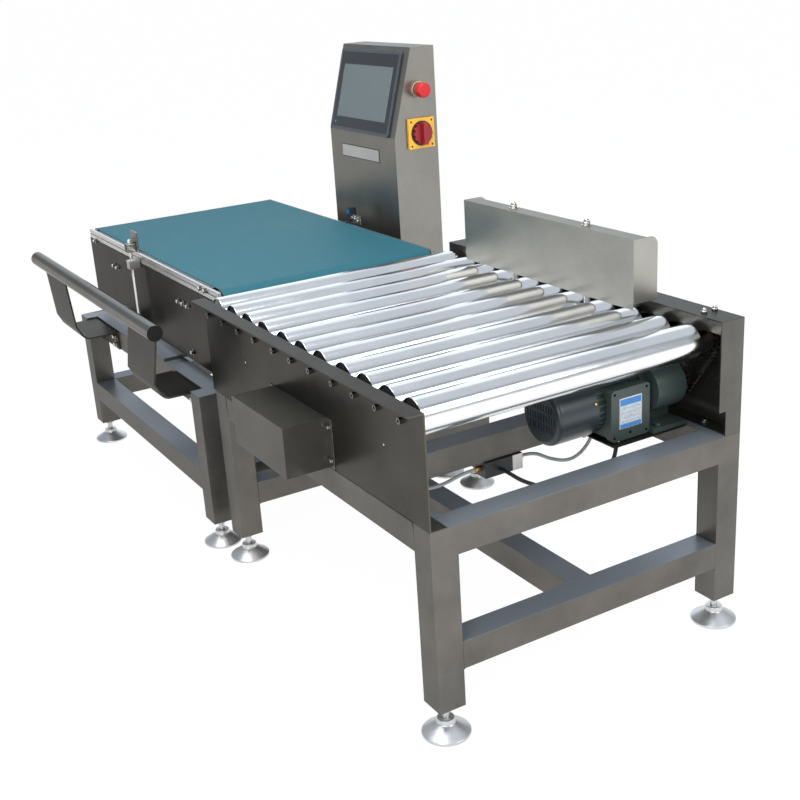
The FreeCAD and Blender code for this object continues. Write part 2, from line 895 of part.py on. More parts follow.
# Gearmotor: a ribbed motor between a slotted fan cover and a cast gear case, on a plate over the rails
mount_blank = block("motor_mount_blank", (S.mount_start, S.mount_end), (S.mount_near, S.mount_far),
                    (roller_stand_top, mount_top))
cable_hole = rod("motor_mount_cable_hole", "Z", S.cable_x, S.cable_y, roller_stand_top - PAST,
                 S.mount_plate + 2 * PAST, S.cable_hole)
keep(cut("motor_mount_plate", mount_blank, cable_hole))
motor_near = S.fan_cover_near + S.fan_cover_length


def ribbed_face(ribs, radius, depth):
    """The section of a motor casting: blunt ribs all round a plain barrel."""
    step = 2 * math.pi / ribs
    points = []
    for rib in range(ribs):
        for share, at in ((-0.18, radius), (0.18, radius), (0.30, radius - depth), (0.70, radius - depth)):
            angle = (rib + share) * step
            points.append(FreeCAD.Vector(at * math.cos(angle), 0, at * math.sin(angle)))
    return Part.Face(Part.makePolygon(points + points[:1]))


motor_section = ribbed_face(int(S.motor_ribs.value), S.motor_radius.value, S.motor_rib_depth.value)
motor_barrel = motor_section.extrude(FreeCAD.Vector(0, (S.motor_end - motor_near).value, 0))
keep(code_shape("motor_body", motor_barrel, S.motor_x, motor_near, motor_axis))


def round_rims(body, radius, height):
    """Rounds the circular edges of a turned piece that lie at one height of its profile."""
    doc.recompute()
    turning = body.Tip
    names = [f"Edge{number}" for number, edge in enumerate(turning.Shape.Edges, start=1)
             if isinstance(edge.Curve, Part.Circle) and abs(edge.Curve.Center.z - height.value) < 1e-4]
    fillet = body.newObject("PartDesign::Fillet", body.Name + "_rim")
    fillet.Base = (turning, names)
    bind(fillet, "Radius", radius)


cover_radius = S.motor_radius + S.fan_cover_lap
fan_blank = turned("fan_cover_blank", "Y", S.motor_x, S.fan_cover_near, motor_axis, [
    (0, 0), (cover_radius, 0), (cover_radius, S.fan_cover_length), (0, S.fan_cover_length),
])
round_rims(fan_blank, S.fan_cover_round, as_size(0))
grille = []
for row, count in ((-1, 9), (0, 11), (1, 9)):
    for number in range(count):
        x = S.motor_x + S.grille_pitch * (number - (count - 1) / 2) - S.grille_slot / 2
        z = motor_axis + S.grille_row_pitch * row - S.grille_slot_length / 2
        grille.append(block(f"grille_slot_{row + 2}_{number + 1}", (x, x + S.grille_slot),
                            (S.fan_cover_near - PAST, S.fan_cover_near + S.grille_depth),
                            (z, z + S.grille_slot_length)))
keep(cut("fan_cover", fan_blank, *grille))

# The case is turned about the output shaft, with a flange to the motor and a bolted foot
case_near = S.motor_end + S.gear_flange
case_far = S.gear_case_far
case_blank = turned("gear_case_barrel", "Y", S.motor_shaft_x, case_near, motor_shaft, [
    (0, 0), (S.gear_case_radius, 0), (S.gear_case_radius, case_far - case_near), (0, case_far - case_near),
])
round_rims(case_blank, S.gear_case_round, case_far - case_near)
foot_top = mount_top + S.gear_foot
foot_x = (S.motor_x - S.motor_radius, S.motor_shaft_x + S.gear_case_radius)
case_whole = fuse(
    "gear_case_whole",
    rod("gear_case_flange", "Y", S.motor_x, S.motor_end, motor_axis, S.gear_flange,
        (S.motor_radius + S.gear_flange_lap) * 2),
    case_blank,
    rod("gear_case_shoulder", "Y", S.motor_x, case_near, motor_axis, (case_far - case_near) * 0.6,
        S.motor_radius * 2 - S.gear_case_round * 2),
    block("gear_case_web", (S.motor_x, S.motor_shaft_x), (case_near, case_far - S.gear_case_round),
          (foot_top, motor_shaft)),
    block("gear_case_foot", foot_x, (S.motor_end, case_far - S.gear_case_round), (mount_top, foot_top)),
)
shaft_bore = rod("gear_case_bore", "Y", S.motor_shaft_x, case_far - S.shaft_socket, motor_shaft,
                 S.shaft_socket + PAST, S.motor_shaft_diameter + 2 * S.running_gap)
foot_bolts = [
    hexagon(f"gear_foot_bolt_{n}", "Z", x, S.motor_end + S.gear_foot_reach, foot_top, S.gear_bolt_height,
            S.gear_bolt_across)
    for n, x in enumerate((foot_x[0] + S.gear_bolt_across, foot_x[1] - S.gear_bolt_across), start=1)
]
keep(group("gear_case", [cut("gear_case_casting", case_whole, shaft_bore)] + foot_bolts))


def rounded_box(name, x, y, z, radius):
    """A block whose four edges along X are rounded."""
    outline = [(y[0], z[0]), (y[1], z[0]), (y[1], z[1]), (y[0], z[1])]
    body = plate(name, "YZ_Plane", outline, *x)
    corners = [FreeCAD.Vector(0, as_size(a).value, as_size(b).value) for a, b in outline]
    round_edges(body, FreeCAD.Vector(1, 0, 0), corners, radius)
    return body


lid_start = S.terminal_face - S.terminal_lid
lid_lap = S.terminal_lid_lap
box_body = rounded_box("terminal_box_body", (S.motor_x, lid_start),
                       (S.terminal_near + lid_lap, S.terminal_far - lid_lap),
                       (S.terminal_low + lid_lap, S.terminal_top - lid_lap), S.terminal_round - lid_lap)
box_lid = rounded_box("terminal_box_lid", (lid_start, S.terminal_face), (S.terminal_near, S.terminal_far),
                      (S.terminal_low, S.terminal_top), S.terminal_round)
keep(cut("terminal_box", fuse("terminal_box_whole", box_body, box_lid),
         rod("terminal_box_saddle", "Y", S.motor_x, S.terminal_near - PAST, motor_axis,
             S.terminal_far - S.terminal_near + 2 * PAST, S.motor_radius * 2)))
sprocket_near = S.chain_plane - S.sprocket_width / 2
keep(group("drive_sprocket", [
    rod("output_shaft", "Y", S.motor_shaft_x, case_far - S.shaft_socket, motor_shaft,
        S.chain_plane + S.sprocket_width / 2 - case_far + S.shaft_socket, S.motor_shaft_diameter),
    sprocket("motor_sprocket", int(S.motor_teeth.value), S.motor_shaft_x, motor_shaft,
             S.motor_shaft_diameter),
]))

# Pusher guides: two rods and a rodless cylinder across the machine
end_block_far = S.end_block_y + S.end_block
housing_near = S.roller_stand_near - S.housing_depth
keep(group("guide_rods", [
    rod(f"guide_rod_{n}", "Y", x, housing_near + S.housing_sheet, guide_height,
        end_block_far - housing_near - S.housing_sheet, S.guide_diameter)
    for n, x in enumerate(guide_places, start=1)
]))
cylinder_half = S.cylinder_side / 2
cylinder_x = (S.guide_x - cylinder_half, S.guide_x + cylinder_half)
cylinder_z = (guide_height - cylinder_half, guide_height + cylinder_half)
keep(block("pusher_cylinder", cylinder_x, (near_inner, S.end_block_y), cylinder_z))
bearing_half = S.bearing_side / 2
end_block_x = (guide_places[0] - bearing_half, guide_places[1] + bearing_half)
end_plate_block = block("guide_end_block_plate", end_block_x, (S.end_block_y, end_block_far),
                        (roller_stand_top, guide_height + bearing_half))
keep(cut("guide_end_block", end_plate_block, *[
    rod(f"guide_end_hole_{n}", "Y", x, S.end_block_y - PAST, guide_height, S.end_block + 2 * PAST,
        S.guide_diameter + 2 * S.running_gap) for n, x in enumerate(guide_places, start=1)
]))

# Pusher carriage: four bearing blocks' worth of housing on the rods under one plate
carriage_near = S.post_y - S.bearing_length / 2
carriage_far = S.post_y + S.bearing_length / 2
plate_low = guide_height + bearing_half
plate_top = plate_low + S.carriage_plate
bar_top = plate_top + S.cross_bar_height
carriage_pieces = []
for n, x in enumerate(guide_places, start=1):
    housing = block(f"bearing_{n}_body", (x - bearing_half, x + bearing_half), (carriage_near, carriage_far),
                    (guide_height - bearing_half, plate_low))
    bore = rod(f"bearing_{n}_bore", "Y", x, carriage_near - PAST, guide_height,
               S.bearing_length + 2 * PAST, S.guide_diameter + 2 * S.running_gap)
    carriage_pieces.append(cut(f"bearing_{n}", housing, bore))
carriage_pieces.append(block("carriage_plate_body",
                             (S.guide_x - S.carriage_half_length, S.guide_x + S.carriage_half_length),
                             (carriage_near, carriage_far), (plate_low, plate_top)))
bar_half = S.cross_bar_width / 2
carriage_pieces.append(block("cross_bar", (post_places[0] - S.cross_bar_overhang,
                                           post_places[1] + S.cross_bar_overhang),
                             (S.post_y - bar_half, S.post_y + bar_half), (plate_top, bar_top)))
post_top = S.pusher_top - S.sheet
carriage_pieces += [
    rod(f"post_{n}", "Z", x, S.post_y, bar_top, post_top - bar_top, S.post_diameter)
    for n, x in enumerate(post_places, start=1)
]
keep(group("pusher_carriage", carriage_pieces))
pusher_outline = [
    (S.pusher_face, S.pusher_low),
    (S.pusher_face + S.sheet, S.pusher_low),
    (S.pusher_face + S.sheet, S.pusher_top - S.sheet),
    (S.pusher_face + S.pusher_flange - S.sheet, S.pusher_top - S.sheet),
    (S.pusher_face + S.pusher_flange - S.sheet, S.pusher_top - S.pusher_lip),
    (S.pusher_face + S.pusher_flange, S.pusher_top - S.pusher_lip),
    (S.pusher_face + S.pusher_flange, S.pusher_top),
    (S.pusher_face, S.pusher_top),
]
pusher_sheet = plate("pusher_sheet", "YZ_Plane", pusher_outline, S.pusher_start + S.sheet,
                     S.pusher_end - S.sheet)
wing_outline = [
    (S.pusher_face, S.pusher_wing_low),
    (S.pusher_face + S.pusher_wing_depth, S.pusher_wing_low),
    (S.pusher_face + S.pusher_wing_depth, S.pusher_top),
    (S.pusher_face, S.pusher_top),
]
wings = []
for label, low in (("infeed", S.pusher_start), ("outfeed", S.pusher_end - S.sheet)):
    wing = plate(f"pusher_{label}_wing", "YZ_Plane", wing_outline, low, low + S.sheet)
    corner = FreeCAD.Vector(0, (S.pusher_face + S.pusher_wing_depth).value, S.pusher_top.value)
    round_edges(wing, FreeCAD.Vector(1, 0, 0), [corner], S.pusher_wing_round)
    wings.append(wing)
keep(fuse("pusher_plate", pusher_sheet, *wings))

# Housing over the near ends of the pusher's guides
housing_low = guide_height - S.housing_below_guides
housing_top = guide_height + S.housing_above_guides
outer_box = block("guide_housing_outer", (S.housing_start, S.housing_end),
                  (housing_near, S.roller_stand_near), (housing_low, housing_top))
inner_box = block("guide_housing_space",
                  (S.housing_start + S.housing_sheet, S.housing_end - S.housing_sheet),
                  (housing_near + S.housing_sheet, S.roller_stand_near + PAST),
                  (housing_low + S.housing_sheet, housing_top - S.housing_sheet))
housing_shell = cut("guide_housing_shell", outer_box, inner_box)
housing_flanges = [
    block(f"guide_housing_flange_{n}", span,
          (S.roller_stand_near - S.housing_sheet, S.roller_stand_near), (housing_low, housing_top))
    for n, span in enumerate(((S.housing_start - S.housing_flange, S.housing_start),
                              (S.housing_end, S.housing_end + S.housing_flange)), start=1)
]
keep(fuse("guide_housing", housing_shell, *housing_flanges))

# Belt conveyor: two drums, a flat bed and an endless belt between side rails
drum_radius = S.drum_diameter / 2
drum_height = S.belt_top - S.belt_thickness - S.belt_gap - drum_radius
rail_near_inner = S.side_rail_near + S.side_rail
rail_far_inner = S.side_rail_far - S.side_rail


def belt_block(name, grow, near, far):
    """A solid stadium round both drums."""
    radius = drum_radius + grow
    middle = block(name + "_middle", (S.tail_drum_x, S.drive_drum_x), (near, far),
                   (drum_height - radius, drum_height + radius))
    ends = [rod(f"{name}_end_{n}", "Y", x, near, drum_height, far - near, radius * 2)
            for n, x in enumerate((S.tail_drum_x, S.drive_drum_x), start=1)]
    return fuse(name, middle, *ends)


keep(cut("conveyor_belt",
         belt_block("belt_outside", S.belt_gap + S.belt_thickness, S.belt_near, S.belt_far),
         belt_block("belt_inside", S.belt_gap, S.belt_near - PAST, S.belt_far + PAST)))
drum_near = S.belt_near
drum_far = S.belt_far
shaft_bore = S.drum_shaft + 2 * S.running_gap
for label, x in (("drive_drum", S.drive_drum_x), ("tail_drum", S.tail_drum_x)):
    keep(ring(label, x, drum_near, drum_height, drum_far - drum_near, S.drum_diameter, shaft_bore))
keep(group("drum_shafts", [
    rod(f"drum_shaft_{n}", "Y", x, S.side_rail_near, drum_height, S.side_rail_far - S.side_rail_near,
        S.drum_shaft) for n, x in enumerate((S.drive_drum_x, S.tail_drum_x), start=1)
]))
bed_top = S.belt_top - S.belt_thickness - S.belt_gap
bed_start = S.tail_drum_x + drum_radius + S.bed_gap
bed_end = S.drive_drum_x - drum_radius - S.bed_gap
slider_bed = block("slider_bed", (bed_start, bed_end), (rail_near_inner, rail_far_inner),
                   (bed_top - S.bed_sheet, bed_top))
rails = []
groove_low = S.side_rail_top - S.rail_groove_drop
for label, low, high, groove in (
    ("near", S.side_rail_near, rail_near_inner, S.side_rail_near - PAST),
    ("far", rail_far_inner, S.side_rail_far, S.side_rail_far - S.rail_groove / 2),
):
    rail = block(f"{label}_side_rail_bar", (S.side_rail_start, S.side_rail_end), (low, high),
                 (S.side_rail_low, S.side_rail_top))
    slot = block(f"{label}_side_rail_groove", (S.side_rail_start - PAST, S.side_rail_end + PAST),
                 (groove, groove + S.rail_groove / 2 + PAST),
                 (groove_low, groove_low + S.rail_groove))
    holes = [rod(f"{label}_side_rail_hole_{n}", "Y", x, low - PAST, drum_height, S.side_rail + 2 * PAST,
                 S.drum_shaft) for n, x in enumerate((S.drive_drum_x, S.tail_drum_x), start=1)]
    rails.append(cut(f"{label}_side_rail", rail, slot, *holes))
keep(group("conveyor_side_rails", rails))
side_panels = []
for label, face, inward in (("near", S.side_rail_near, 1), ("far", S.side_rail_far, -1)):
    outer = face - S.weigh_panel_sheet * inward
    inner = face
    flange = outer + S.weigh_panel_flange * inward
    outline = [
        (outer, S.weigh_panel_low),
        (flange, S.weigh_panel_low),
        (flange, S.weigh_panel_low + S.weigh_panel_sheet),
        (inner, S.weigh_panel_low + S.weigh_panel_sheet),
        (inner, S.weigh_panel_top),
        (outer, S.weigh_panel_top),
    ]
    side_panels.append(plate(f"weigh_{label}_panel", "YZ_Plane", outline, S.weigh_panel_start,
                             S.weigh_panel_end))
keep(group("weigh_side_panels", side_panels))

# Weigh frame: two cross members between the side rails on one spine
member_low = S.side_rail_low
member_top = member_low + S.cross_member
members = [block(f"cross_member_{n}", (x, x + S.tube_side), (rail_near_inner, rail_far_inner),
                 (member_low, member_top))
           for n, x in enumerate((S.cross_member_far_end, S.cross_member_near_end - S.tube_side), start=1)]
middle_y = (S.weigh_stand_near + weigh_stand_far) / 2
spine_half = S.spine_width / 2
members.append(block("weigh_spine", (S.cross_member_far_end, S.cross_member_near_end),
                     (middle_y - spine_half, middle_y + spine_half), (member_low - S.spine_height, member_low)))
keep(group("weigh_frame", members + [slider_bed]))
cell_half = S.cell_length / 2
base_top = weigh_stand_top + S.cell_base
cell_low = base_top + S.cell_spacer
cell_top = cell_low + S.cell_height
near_beam = S.weigh_stand_near + S.beam_inset
far_beam = weigh_stand_far - S.beam_inset
base_bar = block("cell_base_bar", (S.cell_x - cell_half, S.cell_x + cell_half), (near_beam, far_beam),
                 (weigh_stand_top, base_top))
cell_y = (middle_y - S.cell_width / 2, middle_y + S.cell_width / 2)
spacer_length = S.cell_length / 4
keep(group("load_cell_base", [
    base_bar,
    block("cell_low_spacer", (S.cell_x - cell_half, S.cell_x - cell_half + spacer_length), cell_y,
          (base_top, cell_low)),
    block("cell_high_spacer", (S.cell_x + cell_half - spacer_length, S.cell_x + cell_half), cell_y,
          (cell_top, member_low - S.spine_height)),
]))
cell_blank = block("load_cell_blank", (S.cell_x - cell_half, S.cell_x + cell_half), cell_y,
                   (cell_low, cell_top))
keep(cut("load_cell", cell_blank, *[
    rod(f"load_cell_hole_{n}", "Y", S.cell_x + offset, cell_y[0] - PAST, (cell_low + cell_top) / 2,
        S.cell_width + 2 * PAST, S.cell_hole)
    for n, offset in enumerate((-(S.cell_hole_pitch / 2), S.cell_hole_pitch / 2), start=1)
]))

# Handrail on two bent brackets
rail_length = S.rail_end - S.rail_start
handrail_outer = rod("handrail_outer", "X", S.rail_start, S.rail_axis_y, S.rail_axis_height, rail_length,
                     S.rail_diameter)
handrail_space = rod("handrail_space", "X", S.rail_start - PAST, S.rail_axis_y, S.rail_axis_height,
                     rail_length + 2 * PAST, S.rail_diameter - 2 * S.rail_wall)
handrail_tube = cut("handrail_tube", handrail_outer, handrail_space)
keep(group("handrail", [handrail_tube] + [
    rod(f"handrail_cap_{n}", "X", x, S.rail_axis_y, S.rail_axis_height, S.rail_cap,
        S.rail_diameter - 2 * S.rail_wall)
    for n, x in enumerate((S.rail_start, S.rail_end - S.rail_cap), start=1)
]))


def bracket(name, top_x, low_x):
    """One handrail bracket, bent from a strip, that is shifted along the beam below its bend."""
    flange = near_beam
    sheet_out = flange - S.bracket_sheet
    low = weigh_stand_top - S.tube_side
    high = S.rail_axis_height - S.rail_diameter / 2
    run_top = weigh_stand_top - S.bracket_drop
    run_low = run_top - S.bracket_sheet
    knee = run_top + S.bracket_knee
    half_sheet = S.bracket_sheet / 2
    outer_run_end = S.rail_axis_y + S.bracket_run_end - S.bracket_thin
    inner_run_end = S.rail_axis_y + S.bracket_run_end
    outline = [
        (flange, low), (flange, run_top), (inner_run_end, run_top),
        (S.rail_axis_y + half_sheet + S.bracket_lean, knee), (S.rail_axis_y + half_sheet, high),
        (S.rail_axis_y - half_sheet, high), (S.rail_axis_y - half_sheet + S.bracket_lean, knee),
        (outer_run_end, run_low), (sheet_out, run_low), (sheet_out, low),
    ]
    first_low = low_x.value < top_x.value
    strip = plate(name + "_strip", "YZ_Plane", outline, low_x if first_low else top_x,
                  (top_x if first_low else low_x) + S.bracket_width)
    for radius, bend in (
        (S.bracket_bend, (inner_run_end, run_top)),
        (S.bracket_bend + S.bracket_sheet, (outer_run_end, run_low)),
        (S.bracket_flange_bend, (sheet_out, run_low)),
        (S.bracket_flange_bend + S.bracket_sheet, (flange, run_top)),
    ):
        y, z = bend
        round_edges(strip, FreeCAD.Vector(1, 0, 0), [FreeCAD.Vector(0, y.value, z.value)], radius)
    window_outline = [
        (low_x, low - PAST), (low_x + S.bracket_width, low - PAST), (low_x + S.bracket_width, knee),
        (top_x + S.bracket_width, high + PAST), (top_x, high + PAST), (low_x, knee),
    ]
    window = plate(name + "_window", "XZ_Plane", window_outline, S.rail_axis_y - S.rail_diameter, flange + PAST)
    piece = doc.addObject("Part::Common", name)
    piece.Base = strip
    piece.Tool = window
    return piece


right_low = weigh_stand_end - S.tube_side - S.bracket_leg_gap - S.bracket_width
left_low = weigh_stand_start + S.tube_side + S.bracket_leg_gap
keep(group("handrail_brackets", [
    bracket("infeed_bracket", left_low, left_low),
    bracket("outfeed_bracket", S.rail_end - S.bracket_width, right_low),
]))

# Reflector on its rod, held by a clamp block, near side
clamp_half = S.clamp_height / 2
rod_bore = S.sensor_rod + 2 * S.running_gap
keep(rod("sensor_rod", "Z", S.sensor_rod_x, S.sensor_rod_y, weigh_stand_top,
         S.sensor_rod_top - weigh_stand_top, S.sensor_rod))
clamp_x = (S.sensor_rod_x - clamp_half, S.sensor_rod_x + clamp_half)
clamp_y = (S.sensor_rod_y - clamp_half, S.side_rail_near - S.weigh_panel_sheet - S.clamp_gap)


def rod_block(name, depth, low):
    """A block with a bore for the sensor rod."""
    blank = block(name + "_blank", clamp_x, depth, (low, low + S.clamp_height))
    return cut(name, blank, rod(name + "_bore", "Z", S.sensor_rod_x, S.sensor_rod_y, low - PAST,
                                S.clamp_height + 2 * PAST, rod_bore))


reflector_near = clamp_y[1] - S.reflector_thickness
half_reflector = S.reflector_width / 2
keep(rod_block("sensor_clamp", clamp_y, S.clamp_low))
keep(group("reflector", [
    rod_block("reflector_holder", (clamp_y[0], reflector_near), S.reflector_low),
    block("reflector_plate", (S.sensor_rod_x - half_reflector, S.sensor_rod_x + half_reflector),
          (reflector_near, clamp_y[1]),
          (S.reflector_low - S.reflector_overhang, S.reflector_low + S.reflector_height)),
]))

# Photo eye on the far side rail
eye_far = S.eye_y + S.eye_depth / 2
eye_body = block("photo_eye_body", (S.eye_x - S.eye_width / 2, S.eye_x + S.eye_width / 2),
                 (S.eye_y - S.eye_depth / 2, eye_far), (S.eye_low, S.eye_top))
eye_foot = block("photo_eye_foot", (S.eye_x - S.eye_width / 2, S.eye_x + S.eye_width / 2),
                 (S.side_rail_far - S.side_rail, eye_far), (S.side_rail_top, S.eye_low))
keep(group("photo_eye", [eye_body, eye_foot]))

# Control column: a welded sheet case with a leaning head and a rear doorway
skin = S.column_sheet
head_rise = S.column_top - S.column_knee
head_front = S.column_front + tangent(S.head_lean) * head_rise
side_outline = [
    (S.column_front, S.column_low),
    (S.column_back, S.column_low),
    (S.column_back, S.column_top),
    (head_front, S.column_top),
    (S.column_front, S.column_knee),
]
lean_outline = [
    (S.column_front, S.column_knee),
    (S.column_front + skin, S.column_knee),
    (head_front + skin, S.column_top),
    (head_front, S.column_top),
]
edge = S.door_margin
inner_x = (S.column_start + skin, S.column_end - skin)
doorway_x = (S.column_start + edge * 2, S.column_end - edge * 2)
back_y = (S.column_back - skin, S.column_back)
inner_z = (S.column_low + skin, S.column_top - skin)
column_sheets = [
    plate("column_infeed_side", "YZ_Plane", side_outline, S.column_start, S.column_start + skin),
    plate("column_outfeed_side", "YZ_Plane", side_outline, S.column_end - skin, S.column_end),
    block("column_low_front", inner_x, (S.column_front, S.column_front + skin), (S.column_low, S.column_knee)),
    plate("column_leaning_front", "YZ_Plane", lean_outline, *inner_x),
    block("column_roof", inner_x, (head_front + skin, S.column_back), (S.column_top - skin, S.column_top)),
    block("column_floor", inner_x, (S.column_front + skin, S.column_back), (S.column_low, S.column_low + skin)),
    block("doorway_infeed_side", (inner_x[0], doorway_x[0]), back_y, inner_z),
    block("doorway_outfeed_side", (doorway_x[1], inner_x[1]), back_y, inner_z),
    block("doorway_foot", doorway_x, back_y, (inner_z[0], S.column_low + edge * 2)),
    block("doorway_head", doorway_x, back_y, (S.column_top - edge * 2, inner_z[1])),
]

# Door hinges: the column carries the pins, and the door turns on its own knuckles
hinge_x = S.column_start + S.hinge_from_edge
hinge_y = S.column_back + S.door_gap + S.hinge_barrel / 2
door_near = S.column_back + S.door_gap
hinge_heights = (S.column_low + S.hinge_from_end, S.column_top - S.hinge_from_end - 2 * S.hinge_length)


def knuckle(name, z, tab):
    barrel = rod(name + "_barrel", "Z", hinge_x, hinge_y, z, S.hinge_length - S.door_gap, S.hinge_barrel)
    leaf = block(name + "_leaf", tab, (door_near, door_near + S.door_sheet), (z, z + S.hinge_length - S.door_gap))
    return fuse(name + "_blank", barrel, leaf)


door_start = hinge_x + S.hinge_barrel / 2 + S.hinge_door_gap
fixed_hinges = []
door_hinges = []
for n, z in enumerate(hinge_heights, start=1):
    pin = rod(f"hinge_{n}_pin", "Z", hinge_x, hinge_y, z, 2 * S.hinge_length, S.hinge_pin)
    seat = block(f"hinge_{n}_seat", (S.column_start, hinge_x), (S.column_back, door_near + S.door_sheet),
                 (z, z + S.hinge_length - S.door_gap))
    barrel = rod(f"hinge_{n}_barrel", "Z", hinge_x, hinge_y, z, S.hinge_length - S.door_gap, S.hinge_barrel)
    fixed_hinges.append(fuse(f"hinge_{n}", pin, seat, barrel))
    high = z + S.hinge_length
    turning = knuckle(f"door_knuckle_{n}", high, (hinge_x, door_start + PAST))
    bore = rod(f"door_knuckle_{n}_bore", "Z", hinge_x, hinge_y, high - PAST, S.hinge_length + PAST * 2,
               S.hinge_pin + 2 * S.running_gap)
    door_hinges.append(cut(f"door_knuckle_{n}", turning, bore))
keep(group("column_shell", column_sheets + fixed_hinges))
lock_x = S.column_end - edge * 2 - S.lock_from_edge
door_sheet = block("door_sheet", (door_start, S.column_end - edge),
                   (door_near, door_near + S.door_sheet), (S.column_low + edge, S.column_top - edge))
door_blank = fuse("door_blank", door_sheet, *door_hinges)
keep(cut("column_door", door_blank, rod("door_lock_hole", "Y", lock_x, door_near - PAST, S.lock_height,
                                        S.door_sheet + 2 * PAST, S.lock_diameter + 2 * S.running_gap)))
lock_body = rod("lock_body", "Y", lock_x, S.column_back - S.lock_depth, S.lock_height,
                S.lock_depth + S.door_gap + S.door_sheet + S.door_gap, S.lock_diameter)
lock_face = rod("lock_face", "Y", lock_x, door_near + S.door_sheet + S.door_gap, S.lock_height, S.lock_face,
                S.lock_diameter + 2 * S.lock_face_lap)
lock_front = door_near + S.door_sheet + S.door_gap
lock_slot = block("lock_slot", (lock_x - S.lock_slot / 2, lock_x + S.lock_slot / 2),
                  (lock_front + S.lock_face / 2, lock_front + S.lock_face + PAST),
                  (S.lock_height - S.lock_diameter / 3, S.lock_height + S.lock_diameter / 3))
lock_cam = block("lock_cam", (lock_x - S.cam_width / 2, lock_x + S.cam_width / 2),
                 (S.column_back - S.lock_depth, S.column_back - S.lock_depth + S.sheet),
                 (S.lock_height - S.cam_width / 2, S.lock_height + S.cam_length))
keep(cut("door_lock", fuse("lock_whole", lock_body, lock_face, lock_cam), lock_slot))

# Brackets between the column and the weighing stand
bracket_x = (S.column_start + S.column_bracket_inset, S.column_end - S.column_bracket_inset)
keep(group("column_brackets", [
    block("column_high_bracket", bracket_x, (far_beam, S.column_front),
          (weigh_stand_top - S.tube_side + S.column_high_bracket_inset,
           weigh_stand_top - S.column_high_bracket_inset)),
    block("column_low_bracket", bracket_x, (weigh_stand_far, S.column_front),
          (S.column_low + S.column_low_bracket_inset, S.low_rail_top - S.column_low_bracket_inset)),
]))

# Operator panel on the leaning face: a bezel with a recessed screen
lean = turn("X", -S.head_lean.value)


def on_head(name, x, slope, inward):
    """A box on the leaning face. Slope is measured up the face, and inward from the face."""
    box = doc.addObject("Part::Box", name)
    for prop, (low, high) in (("Length", x), ("Width", inward), ("Height", slope)):
        bind(box, prop, as_size(high) - low)
    up, depth = as_size(slope[0]), as_size(inward[0])
    y = S.column_front + sine(S.head_lean) * up + cosine(S.head_lean) * depth
    z = S.column_knee + cosine(S.head_lean) * up - sine(S.head_lean) * depth
    return put(box, x[0], y, z, lean)


screen_x = (S.screen_start + S.screen_side_margin, S.screen_start + S.screen_width - S.screen_side_margin)
screen_slope = (S.screen_low_margin, S.screen_height - S.screen_top_margin)
bezel_outline = [(0, 0), (S.screen_width, 0), (S.screen_width, S.screen_height), (0, S.screen_height)]
bezel = plate("bezel_blank", "XZ_Plane", bezel_outline, 0, S.bezel_proud)
round_edges(bezel, FreeCAD.Vector(0, 1, 0), [
    FreeCAD.Vector(as_size(x).value, 0, as_size(z).value) for x, z in bezel_outline
], S.bezel_round)
put(bezel, S.screen_start, S.column_front, S.column_knee, lean)
recess = on_head("bezel_recess", screen_x, screen_slope, (-S.bezel_proud - PAST, -S.bezel_proud + S.screen_recess))
keep(cut("hmi_panel", bezel, recess))

# Emergency stop and main switch on the outfeed side of the column
switch_face = S.column_end
collar = cut("estop_collar",
             rod("estop_collar_outer", "X", switch_face, S.estop_y, estop_height, S.estop_collar,
                 S.estop_collar_diameter),
             rod("estop_collar_bore", "X", switch_face - PAST, S.estop_y, estop_height,
                 S.estop_collar + 2 * PAST, S.estop_stem + 2 * S.running_gap))
half = S.switch_side / 2
switch_plate = cut("switch_plate",
                   block("switch_plate_blank", (switch_face, switch_face + S.switch_plate),
                         (S.switch_y - half, S.switch_y + half), (switch_height - half, switch_height + half)),
                   rod("switch_plate_bore", "X", switch_face - PAST, S.switch_y, switch_height,
                       S.switch_plate + 2 * PAST, S.switch_shaft + 2 * S.running_gap))
keep(group("switch_plates", [collar, switch_plate]))
stem_start = switch_face + S.estop_press + S.shaft_end_gap
stem_end = switch_face + S.estop_collar + S.estop_press + S.estop_clearance
stem_radius = S.estop_stem / 2
cap_radius = S.estop_diameter / 2
keep(turned("estop_button", "X", stem_start, S.estop_y, estop_height, [
    (0, 0), (stem_radius, 0), (stem_radius, stem_end - stem_start), (cap_radius, stem_end - stem_start),
    (cap_radius, stem_end - stem_start + S.estop_cap - S.estop_cap_round),
    (cap_radius - S.estop_cap_round, stem_end - stem_start + S.estop_cap), (0, stem_end - stem_start + S.estop_cap),
]))
knob_start = switch_face + S.switch_plate + S.door_gap
scallops = []
for number in range(int(S.knob_scallops.value)):
    angle = 360 * (number + 0.5) / S.knob_scallops.value
    scallops.append(rod(f"knob_scallop_{number + 1}", "X", knob_start - PAST,
                        S.switch_y + S.knob_diameter / 2 * math.cos(math.radians(angle)),
                        switch_height + S.knob_diameter / 2 * math.sin(math.radians(angle)),
                        S.knob_thickness + 2 * PAST, S.knob_scallop))
knob = cut("switch_knob", rod("switch_knob_blank", "X", knob_start, S.switch_y, switch_height, S.knob_thickness,
                              S.knob_diameter), *scallops)
grip = block("switch_grip", (knob_start, knob_start + S.grip_thickness),
             (S.switch_y - S.grip_width / 2, S.switch_y + S.grip_width / 2),
             (switch_height - S.knob_diameter / 2, switch_height + S.knob_diameter / 2))
shaft = rod("switch_shaft", "X", switch_face + S.shaft_end_gap, S.switch_y, switch_height, knob_start - switch_face,
            S.switch_shaft)
keep(fuse("main_switch_handle", knob, grip, shaft))

